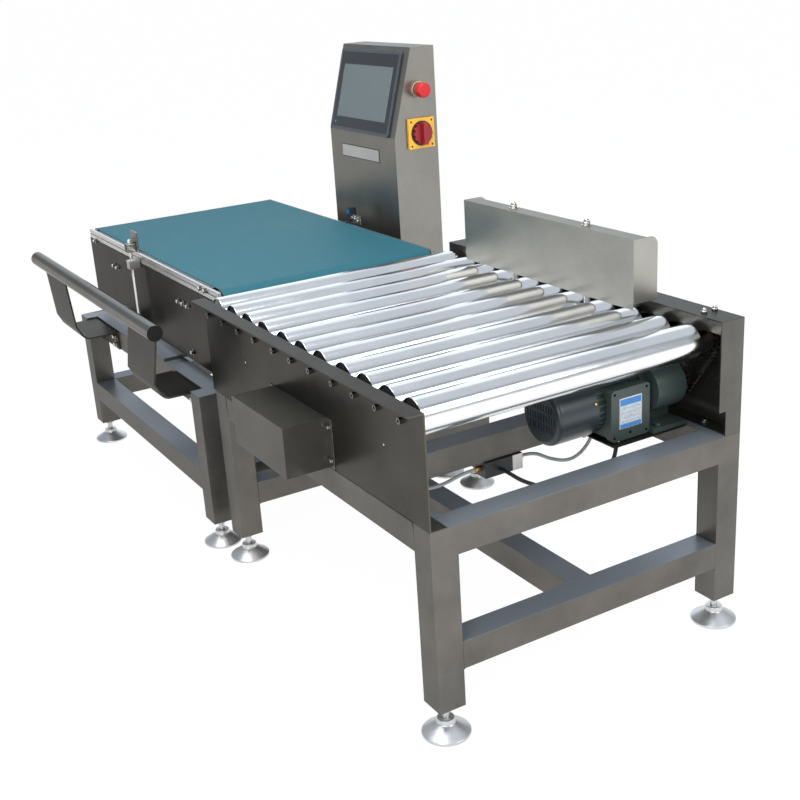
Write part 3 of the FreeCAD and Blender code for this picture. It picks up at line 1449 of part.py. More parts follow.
# Valve under the middle rail, with its brass fittings and the hoses to the pusher's cylinder
valve_top = roller_stand_top - S.tube_side
valve_x = (S.valve_start, S.valve_start + S.valve_width)
valve_y = (S.valve_near, S.valve_near + S.valve_length)
valve_low = valve_top - S.valve_height
keep(block("valve_block", valve_x, valve_y, (valve_low, valve_top)))
valve_middle_x = (valve_x[0] + valve_x[1]) / 2
port_z = (valve_low + valve_top) / 2
port_under = guide_height - cylinder_half - S.port_length
port_y = (S.port_near, S.port_far)
keep(group("valve_fittings", [
    rod("near_port", "Y", valve_middle_x, valve_y[0] - S.port_length, port_z, S.port_length, S.port_diameter),
    rod("far_port", "Y", valve_middle_x, valve_y[1], port_z, S.port_length, S.port_diameter),
    rod("cylinder_near_port", "Z", S.guide_x, port_y[0], port_under, S.port_length, S.port_diameter),
    rod("cylinder_far_port", "Z", S.guide_x, port_y[1], port_under, S.port_length, S.port_diameter),
]))


def route(points, share=0.45):
    """The path of a cord: straight runs joined by arcs as large as the runs allow."""
    spots = [FreeCAD.Vector(*point) for point in points]
    edges = []
    radii = []
    start = spots[0]
    for before, corner, after in zip(spots, spots[1:], spots[2:]):
        back = (before - corner)
        ahead = (after - corner)
        reach = share * min(back.Length, ahead.Length)
        turning = math.pi - back.getAngle(ahead)
        radii.append(reach / math.tan(turning / 2))
        back.normalize()
        ahead.normalize()
        enter = corner + back * reach
        leave = corner + ahead * reach
        inside = (back + ahead).normalize()
        middle = corner + inside * (radii[-1] / math.cos(turning / 2) - radii[-1])
        edges.append(Part.LineSegment(start, enter).toShape())
        edges.append(Part.Arc(enter, middle, leave).toShape())
        start = leave
    edges.append(Part.LineSegment(start, spots[-1]).toShape())
    return Part.Wire(edges), radii


def cord(name, points, diameter):
    """A plain tube along a route, checked by its volume."""
    path, radii = route(points)
    first = path.Edges[0]
    section = Part.Wire(Part.makeCircle(diameter.value / 2, first.valueAt(first.FirstParameter),
                                        first.tangentAt(first.FirstParameter)))
    tube = path.makePipeShell([section], True, True)
    expected = math.pi * diameter.value ** 2 / 4 * path.Length
    print(name, "radii", [round(radius) for radius in radii], "length", round(path.Length),
          "volume ratio", round(tube.Volume / expected, 4))
    return code_shape(name, tube)


near_start = (valve_middle_x.value, (valve_y[0] - S.port_length).value, port_z.value)
far_start = (valve_middle_x.value, (valve_y[1] + S.port_length).value, port_z.value)
near_end = (S.guide_x.value, S.port_near.value, port_under.value)
far_end = (S.guide_x.value, S.port_far.value, port_under.value)
box_exit = (S.cable_x.value, S.cable_y.value, S.terminal_low.value)
cable_end = (valve_x[1].value, box_exit[1] - 160, port_z.value - 6)


def offset(point, *shifts):
    """Points of a route, each given by its distances from one end."""
    return [tuple(a + b for a, b in zip(point, shift)) for shift in shifts]


keep(cord("hose_near", offset(near_start, (0, 0, 0), (0, -33, 0), (-8.5, -81, -18), (-28.5, -131, -22))
          + offset(near_end, (129, 68, -111), (93, 38, -85), (55, 16, -69), (21, 4, -53), (0, 0, -28),
                   (0, 0, 0)), S.hose_diameter))
keep(cord("hose_far", offset(far_start, (0, 0, 0), (0, 32, 0), (13.5, 70, -24), (28.5, 114, -35),
                             (35.5, 154, -12), (37.5, 178, 30))
          + offset(far_end, (226, -48, -33), (199, -32, -3), (155, -22, -1), (115, -12, -17), (77, -7, -37),
                   (41, -3, -47), (17, -1, -43), (0, 0, -26), (0, 0, 0)), S.hose_diameter))
keep(cord("motor_cable", offset(box_exit, (0, 0, 0), (0, 0, -30), (-7, -14, -64), (-28, -42, -96))
          + offset(cable_end, (135, 82, -22), (97, 42, -22), (61, 10, -10), (29, 0, 0), (0, 0, 0)),
          S.cable_diameter))

doc.recompute()

for thing in doc.Objects:
    if "Invalid" in thing.State or "Error" in thing.State:
        raise RuntimeError(f"{thing.Label} failed: {thing.State}")
os.makedirs("parts", exist_ok=True)
for piece in nodes:
    if piece.Shape.isNull() or not piece.Shape.isValid():
        raise RuntimeError(f"{piece.Label} is not a valid solid")
for piece in nodes:
    piece.Shape.exportStep(f"parts/{piece.Label}.step")
    print(piece.Label, len(piece.Shape.Solids), round(piece.Shape.Volume))
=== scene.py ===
import json
import math

import bmesh
import bpy
from mathutils import Matrix, Vector

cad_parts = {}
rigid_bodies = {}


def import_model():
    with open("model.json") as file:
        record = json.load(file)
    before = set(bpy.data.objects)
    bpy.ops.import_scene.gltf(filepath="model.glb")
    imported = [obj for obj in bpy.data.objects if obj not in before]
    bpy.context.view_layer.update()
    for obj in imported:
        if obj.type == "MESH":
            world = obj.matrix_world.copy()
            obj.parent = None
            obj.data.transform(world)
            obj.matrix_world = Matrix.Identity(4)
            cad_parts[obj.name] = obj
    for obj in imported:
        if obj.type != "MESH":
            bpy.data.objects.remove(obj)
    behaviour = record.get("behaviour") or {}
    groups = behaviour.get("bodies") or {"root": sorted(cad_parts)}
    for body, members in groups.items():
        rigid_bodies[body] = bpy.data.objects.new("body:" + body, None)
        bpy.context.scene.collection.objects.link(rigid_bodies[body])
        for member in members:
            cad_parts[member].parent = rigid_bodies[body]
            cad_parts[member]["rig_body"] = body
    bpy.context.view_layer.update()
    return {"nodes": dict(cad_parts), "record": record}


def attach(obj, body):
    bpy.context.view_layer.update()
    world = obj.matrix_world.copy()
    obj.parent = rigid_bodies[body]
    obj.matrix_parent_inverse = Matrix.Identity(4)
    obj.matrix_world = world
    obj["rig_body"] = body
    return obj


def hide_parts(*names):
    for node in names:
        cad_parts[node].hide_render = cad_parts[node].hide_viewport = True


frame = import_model()

# Camera
# A 54 mm lens on a 36 mm frame, placed by a perspective fit of the photograph. It stands at the outfeed end
# on the handrail side and looks down over the rollers at the belt and the column.
photo_camera = bpy.data.cameras.new("photo_camera")
photo_camera.sensor_width = 36
photo_camera.lens = 53.96
photo_camera.clip_end = 500
viewpoint = bpy.data.objects.new("photo_viewpoint", photo_camera)
viewpoint.location = (2.7105, -1.3877, 1.4464)
viewpoint.rotation_euler = [math.radians(angle) for angle in (69.633, 3.443, 58.959)]
bpy.context.scene.collection.objects.link(viewpoint)
bpy.context.scene.camera = viewpoint
bpy.context.scene.view_settings.view_transform = "Standard"

# Floor and studio light
# A plain pale floor under a cool sky with one soft bright patch, and four large soft lamps. The floor glows
# to near white in view and in reflections, brighter ahead of the machine, and keeps a faint shadow.


def node_tree(owner):
    """Empties a material's or world's nodes and gives short ways to add, join and remap them."""
    owner.use_nodes = True
    tree = owner.node_tree
    tree.nodes.clear()

    def add(kind, **values):
        node = tree.nodes.new(kind)
        for name, value in values.items():
            if name in node.inputs:
                node.inputs[name].default_value = value
            else:
                setattr(node, name, value)
        return node

    def join(source, output, target, socket):
        tree.links.new(source.outputs[output], target.inputs[socket])

    def remap(source, output, start, end, low=0.0, high=1.0, **settings):
        node = add("ShaderNodeMapRange", **settings)
        for socket, value in (("From Min", start), ("From Max", end), ("To Min", low), ("To Max", high)):
            node.inputs[socket].default_value = value
        join(source, output, node, "Value")
        return node

    return add, join, remap


floor_paint = bpy.data.materials.new("studio_floor")
add, join, remap = node_tree(floor_paint)
floor_matt = add("ShaderNodeBsdfDiffuse", Color=(0.80, 0.80, 0.80, 1))
floor_glow = add("ShaderNodeEmission", Color=(1, 1, 1, 1))
floor_place = add("ShaderNodeTexCoord")
floor_split = add("ShaderNodeSeparateXYZ")
join(floor_place, "Object", floor_split, 0)
brighter_ahead = remap(floor_split, "X", 1.05, 1.8, 1.02, 1.6)
join(brighter_ahead, "Result", floor_glow, "Strength")
floor_mix = add("ShaderNodeMixShader")
seen = add("ShaderNodeLightPath")
seen_or_glossy = add("ShaderNodeMath", operation="MAXIMUM")
seen_any = add("ShaderNodeMath", operation="MAXIMUM")
share = add("ShaderNodeMath", operation="MULTIPLY")
share.inputs[1].default_value = 0.96
join(seen, "Is Camera Ray", seen_or_glossy, 0)
join(seen, "Is Glossy Ray", seen_or_glossy, 1)
join(seen_or_glossy, 0, seen_any, 0)
join(seen, "Is Transmission Ray", seen_any, 1)
join(seen_any, 0, share, 0)
join(share, 0, floor_mix, 0)
join(floor_matt, 0, floor_mix, 1)
join(floor_glow, 0, floor_mix, 2)
join(floor_mix, 0, add("ShaderNodeOutputMaterial"), 0)

floor_mesh = bpy.data.meshes.new("studio_floor")
reach = 300
floor_mesh.from_pydata([(x * reach, y * reach, -0.0005) for x, y in ((-1, -1), (1, -1), (1, 1), (-1, 1))],
                       [], [(0, 1, 2, 3)])
floor_mesh.materials.append(floor_paint)
studio_floor = bpy.data.objects.new("studio_floor", floor_mesh)
bpy.context.scene.collection.objects.link(studio_floor)

sky = bpy.data.worlds.new("studio_sky")
bpy.context.scene.world = sky
add, join, remap = node_tree(sky)
direction = add("ShaderNodeTexCoord")
split = add("ShaderNodeSeparateXYZ")
join(direction, "Generated", split, 0)
ramp = add("ShaderNodeValToRGB")
ramp.color_ramp.elements[0].position = 0.0
ramp.color_ramp.elements[0].color = (1.0, 1.0, 1.0, 1)
ramp.color_ramp.elements[1].position = 0.75
ramp.color_ramp.elements[1].color = (0.70, 0.79, 0.92, 1)
low_sky = ramp.color_ramp.elements.new(0.12)
low_sky.color = (0.90, 0.94, 1.0, 1)
join(split, "Z", ramp, 0)
sky_light = add("ShaderNodeBackground")
facing = add("ShaderNodeVectorMath", operation="DOT_PRODUCT")
facing.inputs[1].default_value = (-0.80, 0.47, 0.37)
join(direction, "Generated", facing, 0)
haze = remap(split, "Z", 0, 0.16, 1.0, 0.50)
window = remap(facing, "Value", 0.80, 0.97, 0.50, 1.5, interpolation_type="SMOOTHSTEP")
join(haze, "Result", window, "To Min")
join(window, "Result", sky_light, "Strength")
join(ramp, 0, sky_light, "Color")
join(sky_light, 0, add("ShaderNodeOutputWorld"), 0)


def soft_lamp(name, place, aim, width, watts):
    """A large square lamp that points at one spot."""
    lamp = bpy.data.lights.new(name, "AREA")
    lamp.size = width
    lamp.energy = watts
    holder = bpy.data.objects.new(name, lamp)
    holder.location = place
    holder.rotation_euler = (Vector(aim) - Vector(place)).to_track_quat("-Z", "Y").to_euler()
    bpy.context.scene.collection.objects.link(holder)


soft_lamp("overhead_lamp", (0.2, -0.6, 3.6), (0, 0, 0.5), 2.4, 95)
soft_lamp("roller_lamp", (0.3, 1.7, 3.4), (0.3, 0, 0.6), 4.0, 16)
soft_lamp("front_lamp", (3.0, -3.0, 2.2), (0, 0, 0.5), 2.0, 60)
soft_lamp("side_lamp", (3.6, 1.2, 2.4), (0, 0, 0.5), 1.6, 45)

# Air hoses and motor cable
# Grey polyurethane hose of 8 mm, pushed into brass fittings and hanging in loops under the rollers. The
# motor's 9 mm black rubber cable comes out of the terminal box and hangs down to the valve.


def plain_finish(name, colour, rough, speckle=0.08, scale=140, bump=0.02, metallic=0.0, **sockets):
    """A moulded, painted or cast finish: one colour with slight mottle, uneven gloss and a fine texture."""
    finish = bpy.data.materials.new(name)
    add, join, remap = node_tree(finish)
    surface = add("ShaderNodeBsdfPrincipled", **{"Metallic": metallic, **sockets})
    place = add("ShaderNodeTexCoord")
    mottle = add("ShaderNodeTexNoise", Scale=9.0, Detail=5.0, Roughness=0.6)
    grain = add("ShaderNodeTexNoise", Scale=scale, Detail=3.0, Roughness=0.55)
    join(place, "Object", mottle, "Vector")
    join(place, "Object", grain, "Vector")
    tint = remap(mottle, "Fac", 0.3, 0.7, 1 - speckle, 1 + speckle)
    shade = add("ShaderNodeVectorMath", operation="SCALE")
    shade.inputs[0].default_value = colour
    join(tint, "Result", shade, "Scale")
    join(shade, 0, surface, "Base Color")
    gloss = remap(grain, "Fac", 0, 1, rough * 0.85, min(rough * 1.2, 1))
    join(gloss, "Result", surface, "Roughness")
    relief = add("ShaderNodeBump", Strength=bump, Distance=0.001)
    join(grain, "Fac", relief, "Height")
    join(relief, 0, surface, "Normal")
    join(surface, 0, add("ShaderNodeOutputMaterial"), 0)
    return finish


hose_grey = plain_finish("hose_grey", (0.42, 0.43, 0.42), 0.3, scale=300)
cable_black = plain_finish("cable_black", (0.012, 0.012, 0.013), 0.5, scale=300)


def cord_curve(name, points_mm, diameter, finish):
    """A cord as one smooth curve through its route."""
    line = bpy.data.curves.new(name, "CURVE")
    line.dimensions = "3D"
    line.resolution_u = 24
    line.bevel_depth = diameter / 2
    line.bevel_resolution = 5
    line.use_fill_caps = True
    spline = line.splines.new("NURBS")
    spline.points.add(len(points_mm) - 1)
    for point, place in zip(spline.points, points_mm):
        point.co = (place[0] / 1000, place[1] / 1000, place[2] / 1000, 1)
    spline.order_u = 3
    spline.use_endpoint_u = True
    line.materials.append(finish)
    piece = bpy.data.objects.new(name, line)
    bpy.context.scene.collection.objects.link(piece)
    bare = line.copy()
    bare.bevel_depth = 0
    probe = bpy.data.objects.new(name + "_probe", bare)
    bpy.context.scene.collection.objects.link(probe)
    bpy.context.view_layer.update()
    track = bpy.data.meshes.new_from_object(probe.evaluated_get(bpy.context.evaluated_depsgraph_get()))
    bpy.data.objects.remove(probe)
    bpy.data.meshes.remove(track)
    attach(piece, "machine_frame")
    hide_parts(name.replace("_line", ""))


hose_near_route = [
    (692.5, -57, 378), (692.5, -90, 378), (684, -138, 360), (664, -188, 356), (632, -228, 372),
    (596, -258, 398), (558, -280, 414), (524, -292, 430), (503, -296, 455), (503, -296, 483),
]
hose_far_route = [
    (692.5, 72, 378), (692.5, 104, 378), (706, 142, 354), (721, 186, 343), (728, 226, 366),
    (730, 250, 408), (729, 268, 450), (702, 284, 480), (658, 294, 482), (618, 304, 466),
    (580, 309, 446), (544, 313, 436), (520, 315, 440), (503, 316, 457), (503, 316, 483),
]
motor_cable_route = [
    (910, 160, 462), (910, 160, 432), (903, 146, 398), (882, 118, 366), (850, 82, 350),
    (812, 42, 350), (776, 10, 362), (744, 0, 372), (715, 0, 372),
]
cord_curve("hose_near_line", hose_near_route, 0.008, hose_grey)
cord_curve("hose_far_line", hose_far_route, 0.008, hose_grey)
cord_curve("motor_cable_line", motor_cable_route, 0.009, cable_black)

# Stands
# Two welded frames of 60 mm square stainless tube, mitred or capped, ground flush at the corners and
# brushed. Welding heat has left brown tints, and the flat tops carry a pale bluish film that is partly dust
# and partly a painted sky reflection, which lightens the tops.


def brushed_finish(name, colour, rough, grain=(1, 1, 1), scale=60, stain=0.25, streak=0.12, bump=0.015,
                   tint=None, metal=0.88, dust_and_sky_sheen=None):
    """Stainless steel with fine brush marks, cloudy stains and uneven gloss.

    The brush marks run along the axis whose grain share is small. Faces that look up get a pale bluish film
    that is partly dust and partly a painted sky reflection.
    Dark steels get a dimmer specular tint, or they'd turn white at grazing angles.
    """
    finish = bpy.data.materials.new(name)
    add, join, remap = node_tree(finish)
    surface = add("ShaderNodeBsdfPrincipled", **{"Metallic": metal, "Specular IOR Level": 0.25})
    edge = 1.0 if min(colour) > 0.35 else 0.45
    surface.inputs["Specular Tint"].default_value = (edge, edge, edge, 1)
    place = add("ShaderNodeTexCoord")
    stretch = add("ShaderNodeMapping")
    stretch.inputs["Scale"].default_value = [share * scale for share in grain]
    join(place, "Object", stretch, "Vector")
    brush = add("ShaderNodeTexNoise", Scale=12.0, Detail=4.0, Roughness=0.7)
    join(stretch, 0, brush, "Vector")
    cloud = add("ShaderNodeTexNoise", Scale=7.0, Detail=6.0, Roughness=0.62)
    join(place, "Object", cloud, "Vector")
    wide = add("ShaderNodeTexNoise", Scale=1.7, Detail=2.0, Roughness=0.5)
    join(place, "Object", wide, "Vector")
    stains = remap(cloud, "Fac", 0.3, 0.7, 1 - stain, 1 + stain)
    streaks = remap(brush, "Fac", 0.3, 0.7, 1 - streak, 1 + streak)
    both = add("ShaderNodeMath", operation="MULTIPLY")
    join(stains, "Result", both, 0)
    join(streaks, "Result", both, 1)
    warm = add("ShaderNodeMix", data_type="RGBA")
    warm.inputs["A"].default_value = (*colour, 1)
    warmer = tint or [part * share for part, share in zip(colour, (1.06, 1.0, 0.9))]
    warm.inputs["B"].default_value = (*warmer, 1)
    join(wide, "Fac", warm, "Factor")
    shade = add("ShaderNodeVectorMath", operation="SCALE")
    join(warm, "Result", shade, 0)
    join(both, 0, shade, "Scale")
    join(shade, 0, surface, "Base Color")
    # Painted sky reflection and dust: faces that look up turn pale bluish and less metallic, which lightens
    # the tops.
    if dust_and_sky_sheen:
        facing = add("ShaderNodeNewGeometry")
        upward = add("ShaderNodeSeparateXYZ")
        join(facing, "Normal", upward, 0)
        dust_and_sheen_share = remap(upward, "Z", 0.55, 0.98)
        dust_and_sheen_mix = add("ShaderNodeMix", data_type="RGBA")
        dust_and_sheen_mix.inputs["B"].default_value = (*dust_and_sky_sheen, 1)
        join(dust_and_sheen_share, "Result", dust_and_sheen_mix, "Factor")
        join(shade, 0, dust_and_sheen_mix, "A")
        join(dust_and_sheen_mix, "Result", surface, "Base Color")
        join(remap(dust_and_sheen_share, "Result", 0, 1, metal, 0.3), "Result", surface, "Metallic")
    gloss = remap(cloud, "Fac", 0, 1, rough * 0.75, rough * 1.3)
    join(gloss, "Result", surface, "Roughness")
    relief = add("ShaderNodeBump", Strength=bump * 3, Distance=0.0002)
    join(brush, "Fac", relief, "Height")
    join(relief, 0, surface, "Normal")
    join(surface, 0, add("ShaderNodeOutputMaterial"), 0)
    return finish


def smooth_by_angle(shape, degrees=32):
    """Smooth shading that breaks at edges sharper than the angle."""
    for face in shape.faces:
        face.smooth = True
    for edge in shape.edges:
        edge.smooth = len(edge.link_faces) == 2 and edge.calc_face_angle(0) < math.radians(degrees)


def corner_normals(shape):
    """Normals for each face corner, where large faces count for more than narrow rounded edges."""
    shape.normal_update()
    shape.faces.index_update()
    shape.verts.index_update()
    found = {}
    for vert in shape.verts:
        left = set(vert.link_faces)
        while left:
            cluster = [left.pop()]
            for face in cluster:
                for edge in face.edges:
                    if edge.smooth and vert in edge.verts:
                        for other in edge.link_faces:
                            if other in left:
                                left.remove(other)
                                cluster.append(other)
            total = sum((face.normal * face.calc_area() for face in cluster), Vector())
            for face in cluster:
                found[face.index, vert.index] = total.normalized()
    return found


def new_piece(name, shape, finishes, body, slot_name, *stands_for):
    """Turns a finished mesh into a piece that rides on a body and stands for CAD nodes."""
    mesh = bpy.data.meshes.new(name)
    found = corner_normals(shape)
    shape.to_mesh(mesh)
    shape.free()
    mesh.normals_split_custom_set([found[polygon.index, mesh.loops[corner].vertex_index]
                                   for polygon in mesh.polygons for corner in polygon.loop_indices])
    for finish in finishes:
        mesh.materials.append(finish)
    piece = bpy.data.objects.new(name, mesh)
    bpy.context.scene.collection.objects.link(piece)
    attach(piece, body)
    if stands_for:
        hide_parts(*stands_for)


def record_slot(node):
    """The material slot that the record gives a node."""
    return next(part["material_slot"] for part in frame["record"]["subparts"] if part["node"] == node)


def cad_solid(node):
    """A node's solid as an editable mesh, with flat faces whole and inner joint faces gone."""
    shape = bmesh.new()
    shape.from_mesh(frame["nodes"][node].data)
    bmesh.ops.remove_doubles(shape, verts=shape.verts, dist=2e-5)
    buried = [face for face in shape.faces if all(len(edge.link_faces) > 2 for edge in face.edges)]
    bmesh.ops.delete(shape, geom=buried, context="FACES")
    bmesh.ops.dissolve_limit(shape, angle_limit=math.radians(0.5), verts=shape.verts, edges=shape.edges)
    return shape


def eased(shape, radius, segments=2, shortest=0.0, sharper_than=50):
    """Rounds a form's sharp convex edges, as on a real cut, bent or ground piece."""
    edges = [edge for edge in shape.edges
             if len(edge.link_faces) == 2 and edge.is_convex and edge.calc_length() > shortest
             and edge.calc_face_angle(0) > math.radians(sharper_than)]
    bmesh.ops.bevel(shape, geom=edges, offset=radius, segments=segments, profile=0.5, affect="EDGES",
                    clamp_overlap=True)
    smooth_by_angle(shape)
    return shape


def with_broken_edges(node, radius, finish, shortest=0.0, segments=2, sharper_than=50):
    """A copy of a node with rounded edges and one finish, shown in its place."""
    shape = eased(cad_solid(node), radius, segments, shortest, sharper_than)
    new_piece(node + "_skin", shape, [finish], frame["nodes"][node]["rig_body"], record_slot(node), node)


# The tops' pale bluish film is partly dust and partly a painted sky reflection.
stand_steel = brushed_finish("stand_steel", (0.142, 0.140, 0.133), 0.33, stain=0.2, streak=0.06, metal=0.62,
                             tint=(0.150, 0.136, 0.118), dust_and_sky_sheen=(0.215, 0.24, 0.27))
with_broken_edges("outfeed_stand", 0.0028, stand_steel, shortest=0.03, segments=3)
with_broken_edges("weigh_stand", 0.0028, stand_steel, shortest=0.03, segments=3)


def tapered_round(shape, centre, axis, rings, sides=32, finish=0):
    """Adds a turned form. Each ring is a radius and a distance along the axis."""
    axis = Vector(axis).normalized()
    across = axis.orthogonal().normalized()
    up = axis.cross(across)
    corners = [2 * math.pi * k / sides for k in range(sides)]
    loops = []
    for radius, height in rings:
        loops.append([shape.verts.new(Vector(centre) + axis * height + radius * (
            across * math.cos(angle) + up * math.sin(angle))) for angle in corners])
    faces = [shape.faces.new((low[k], low[(k + 1) % sides], high[(k + 1) % sides], high[k]))
             for low, high in zip(loops, loops[1:]) for k in range(sides)]
    faces += [shape.faces.new(loops[0][::-1]), shape.faces.new(loops[-1])]
    for face in faces:
        face.material_index = finish


def box(shape, low, high, finish=0):
    """Adds a block between two opposite corners."""
    low, high = Vector(low), Vector(high)
    made = bmesh.ops.create_cube(shape, size=1, matrix=Matrix.Translation((low + high) / 2)
                                 @ Matrix.Diagonal((*(high - low), 1)))
    for face in {face for vert in made["verts"] for face in vert.link_faces}:
        face.material_index = finish


# Weld beads
# Each low rail of the roller stand is welded to its legs. The outer corners are ground flush, and on the
# inner side the rippled stainless bead stays as it was laid.
weld_steel = brushed_finish("weld_steel", (0.11, 0.10, 0.09), 0.42, scale=220, stain=0.35, bump=0.05)
beads = bmesh.new()
for x in (0.03, 0.97):
    for y in (-0.3214, 0.3374):
        for z in (0.149, 0.209):
            for k in range(14):
                bmesh.ops.create_uvsphere(beads, u_segments=6, v_segments=4, radius=0.0024,
                                          matrix=Matrix.Translation((x + 0.002 + 0.0043 * k, y, z)))
smooth_by_angle(beads, 80)
new_piece("roller_stand_welds", beads, [weld_steel], "machine_frame", "stainless")

# Levelling feet
# Eight cast stainless cones of 100 mm with a skirt and a hub, each on a turned and threaded 16 mm stud that
# screws into a leg's end plate. They move four at a time, one group for each stand.
thread_root, half_pitch = 0.0072, 0.00135
foot_steel = brushed_finish("foot_steel", (0.62, 0.64, 0.67), 0.36, scale=200, stain=0.15, streak=0.06)
for body, node, places in (
    ("weigh_feet", "weigh_stand_feet", [(-1.0, -0.377), (-0.06, -0.377), (-1.0, 0.343), (-0.06, 0.343)]),
    ("roller_feet", "roller_stand_feet", [(0.06, -0.352), (1.0, -0.352), (0.06, 0.368), (1.0, 0.368)]),
):
    cones = bmesh.new()
    for x, y in places:
        tapered_round(cones, (x, y, 0), (0, 0, 1), [
            (0.047, 0), (0.0495, 0.0008), (0.05, 0.0025), (0.05, 0.0052), (0.0488, 0.0066), (0.0205, 0.0243),
            (0.0184, 0.0265), (0.018, 0.0345), (0.017, 0.036), (0.008, 0.036),
        ], 48)
        tapered_round(cones, (x, y, 0.036), (0, 0, 1), [
            (thread_root if step % 2 else 0.008, half_pitch * step) for step in range(48)
        ] + [(thread_root, 0.072)], 20)
    smooth_by_angle(cones, 44)
    new_piece(node + "_skin", cones, [foot_steel], body, record_slot(node), node)

# Foot lock nuts
# Plain stainless hexagon nuts with chamfered corners, one on each stud, run up against the leg's end plate
# so that the foot can't turn.
nut_steel = brushed_finish("nut_steel", (0.42, 0.42, 0.41), 0.3, scale=240, stain=0.2)
with_broken_edges("foot_lock_nuts", 0.0008, nut_steel)

# Side panel and chain guard of the roller section
# Folded 3 mm stainless sheet, brushed along its length, with bright, slightly rounded edges. The panel
# holds the axles and two rivets. The guard hides the drive and is closed with cap nuts and screws.
panel_steel = brushed_finish("panel_steel", (0.092, 0.091, 0.086), 0.28, grain=(0.15, 1, 1), scale=50,
                             stain=0.14, streak=0.05, bump=0.0012)
guard_steel = brushed_finish("guard_steel", (0.112, 0.111, 0.106), 0.28, grain=(0.15, 1, 1), scale=90,
                             stain=0.16, streak=0.08, bump=0.008)
with_broken_edges("near_side_panel", 0.0011, panel_steel, shortest=0.002)
with_broken_edges("chain_guard", 0.0011, guard_steel, shortest=0.002)


def hex_screw(shape, place, axis, across, height):
    """Adds a hexagon screw head with a chamfered crown and a washer under it."""
    washer, corner = 0.0012, across * 0.577
    tapered_round(shape, place, axis, [(across * 0.72, 0), (across * 0.72, washer)], 24)
    crown = Vector(place) + Vector(axis) * washer
    tapered_round(shape, crown, axis, [(corner, 0), (corner, height * 0.8), (across * 0.48, height)], 6)


def cap_nut(shape, place, axis, across, height):
    """Adds a hexagon nut with a domed cap."""
    corner, half = across * 0.577, height * 0.5
    tapered_round(shape, place, axis, [(corner, 0), (corner, half)], 6)
    top = Vector(place) + Vector(axis) * half
    tapered_round(shape, top, axis, [(across * 0.46 * math.cos(a), half * math.sin(a))
                                     for a in (0, 0.4, 0.8, 1.2, 1.45)], 20)


screw_steel = brushed_finish("screw_steel", (0.55, 0.55, 0.54), 0.22, scale=260, stain=0.12, metal=1.0)


def screw_group(name, heads):
    """One piece of hexagon screws. Each head is a place, an axis, a width across flats and a height."""
    shape = bmesh.new()
    for head in heads:
        hex_screw(shape, *head)
    smooth_by_angle(shape)
    new_piece(name, shape, [screw_steel], "machine_frame", "stainless")


guard_screws = bmesh.new()
for place in ((0.955, 0.358, 0.711), (0.955, 0.388, 0.711)):
    cap_nut(guard_screws, place, (0, 0, 1), 0.011, 0.011)
for x in (0.12, 0.34, 0.56, 0.72, 0.95):
    hex_screw(guard_screws, (x, 0.374, 0.460), (0, 0, 1), 0.010, 0.006)
smooth_by_angle(guard_screws)
new_piece("guard_screws", guard_screws, [screw_steel], "machine_frame", "stainless")
rivets = bmesh.new()
for x in (0.246, 0.88):
    tapered_round(rivets, (x, -0.382, 0.586), (0, -1, 0), [(0.003, 0), (0.0026, 0.001), (0.0012, 0.0018)], 16)
smooth_by_angle(rivets, 60)
new_piece("panel_rivets", rivets, [screw_steel], "machine_frame", "stainless")

# Rollers
# Eleven ground and polished steel tubes with pressed zinc caps over their bearings. A hardened sprocket is
# fixed on each far hub, and each roller turns on its own axle.
roller_steel = brushed_finish("roller_steel", (0.76, 0.76, 0.76), 0.16, grain=(1, 0.25, 1), scale=160,
                              stain=0.05, streak=0.03, bump=0.002, tint=(0.78, 0.79, 0.80), metal=1.0)
axis_height = 0.657
tube_near, tube_far = -0.361, 0.319
hub_start = 0.3185
bare_radius = 0.0352
cap_steel = plain_finish("cap_zinc", (0.26, 0.26, 0.265), 0.38, metallic=0.9)
sprocket_steel = plain_finish("sprocket_steel", (0.10, 0.095, 0.085), 0.35, metallic=1.0, speckle=0.3)
for number in range(1, 12):
    node = f"roller_{number:02d}"
    shape = cad_solid(node)
    edges = [edge for edge in shape.edges if len(edge.link_faces) == 2 and edge.is_convex
             and edge.calc_face_angle(0) > math.radians(50)
             and all(tube_near < vert.co.y < tube_far for vert in edge.verts)]
    bmesh.ops.bevel(shape, geom=edges, offset=0.0012, segments=2, profile=0.5, affect="EDGES",
                    clamp_overlap=True)
    middle = sum((vert.co.x for vert in shape.verts)) / len(shape.verts)
    for face in shape.faces:
        spot = face.calc_center_median()
        from_axis = math.hypot(spot.x - middle, spot.z - axis_height)
        face.material_index = 2 if spot.y > hub_start else 1 if from_axis < bare_radius else 0
    smooth_by_angle(shape)
    new_piece(node + "_skin", shape, [roller_steel, cap_steel, sprocket_steel],
              frame["nodes"][node]["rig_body"], record_slot(node), node)

# Roller axles
# Cold drawn steel bars through the rollers, seated in the guard and held to the near panel by dark socket
# screws.
with_broken_edges("roller_axles", 0.0006, plain_finish("axle_dark", (0.20, 0.195, 0.19), 0.28, metallic=1.0))

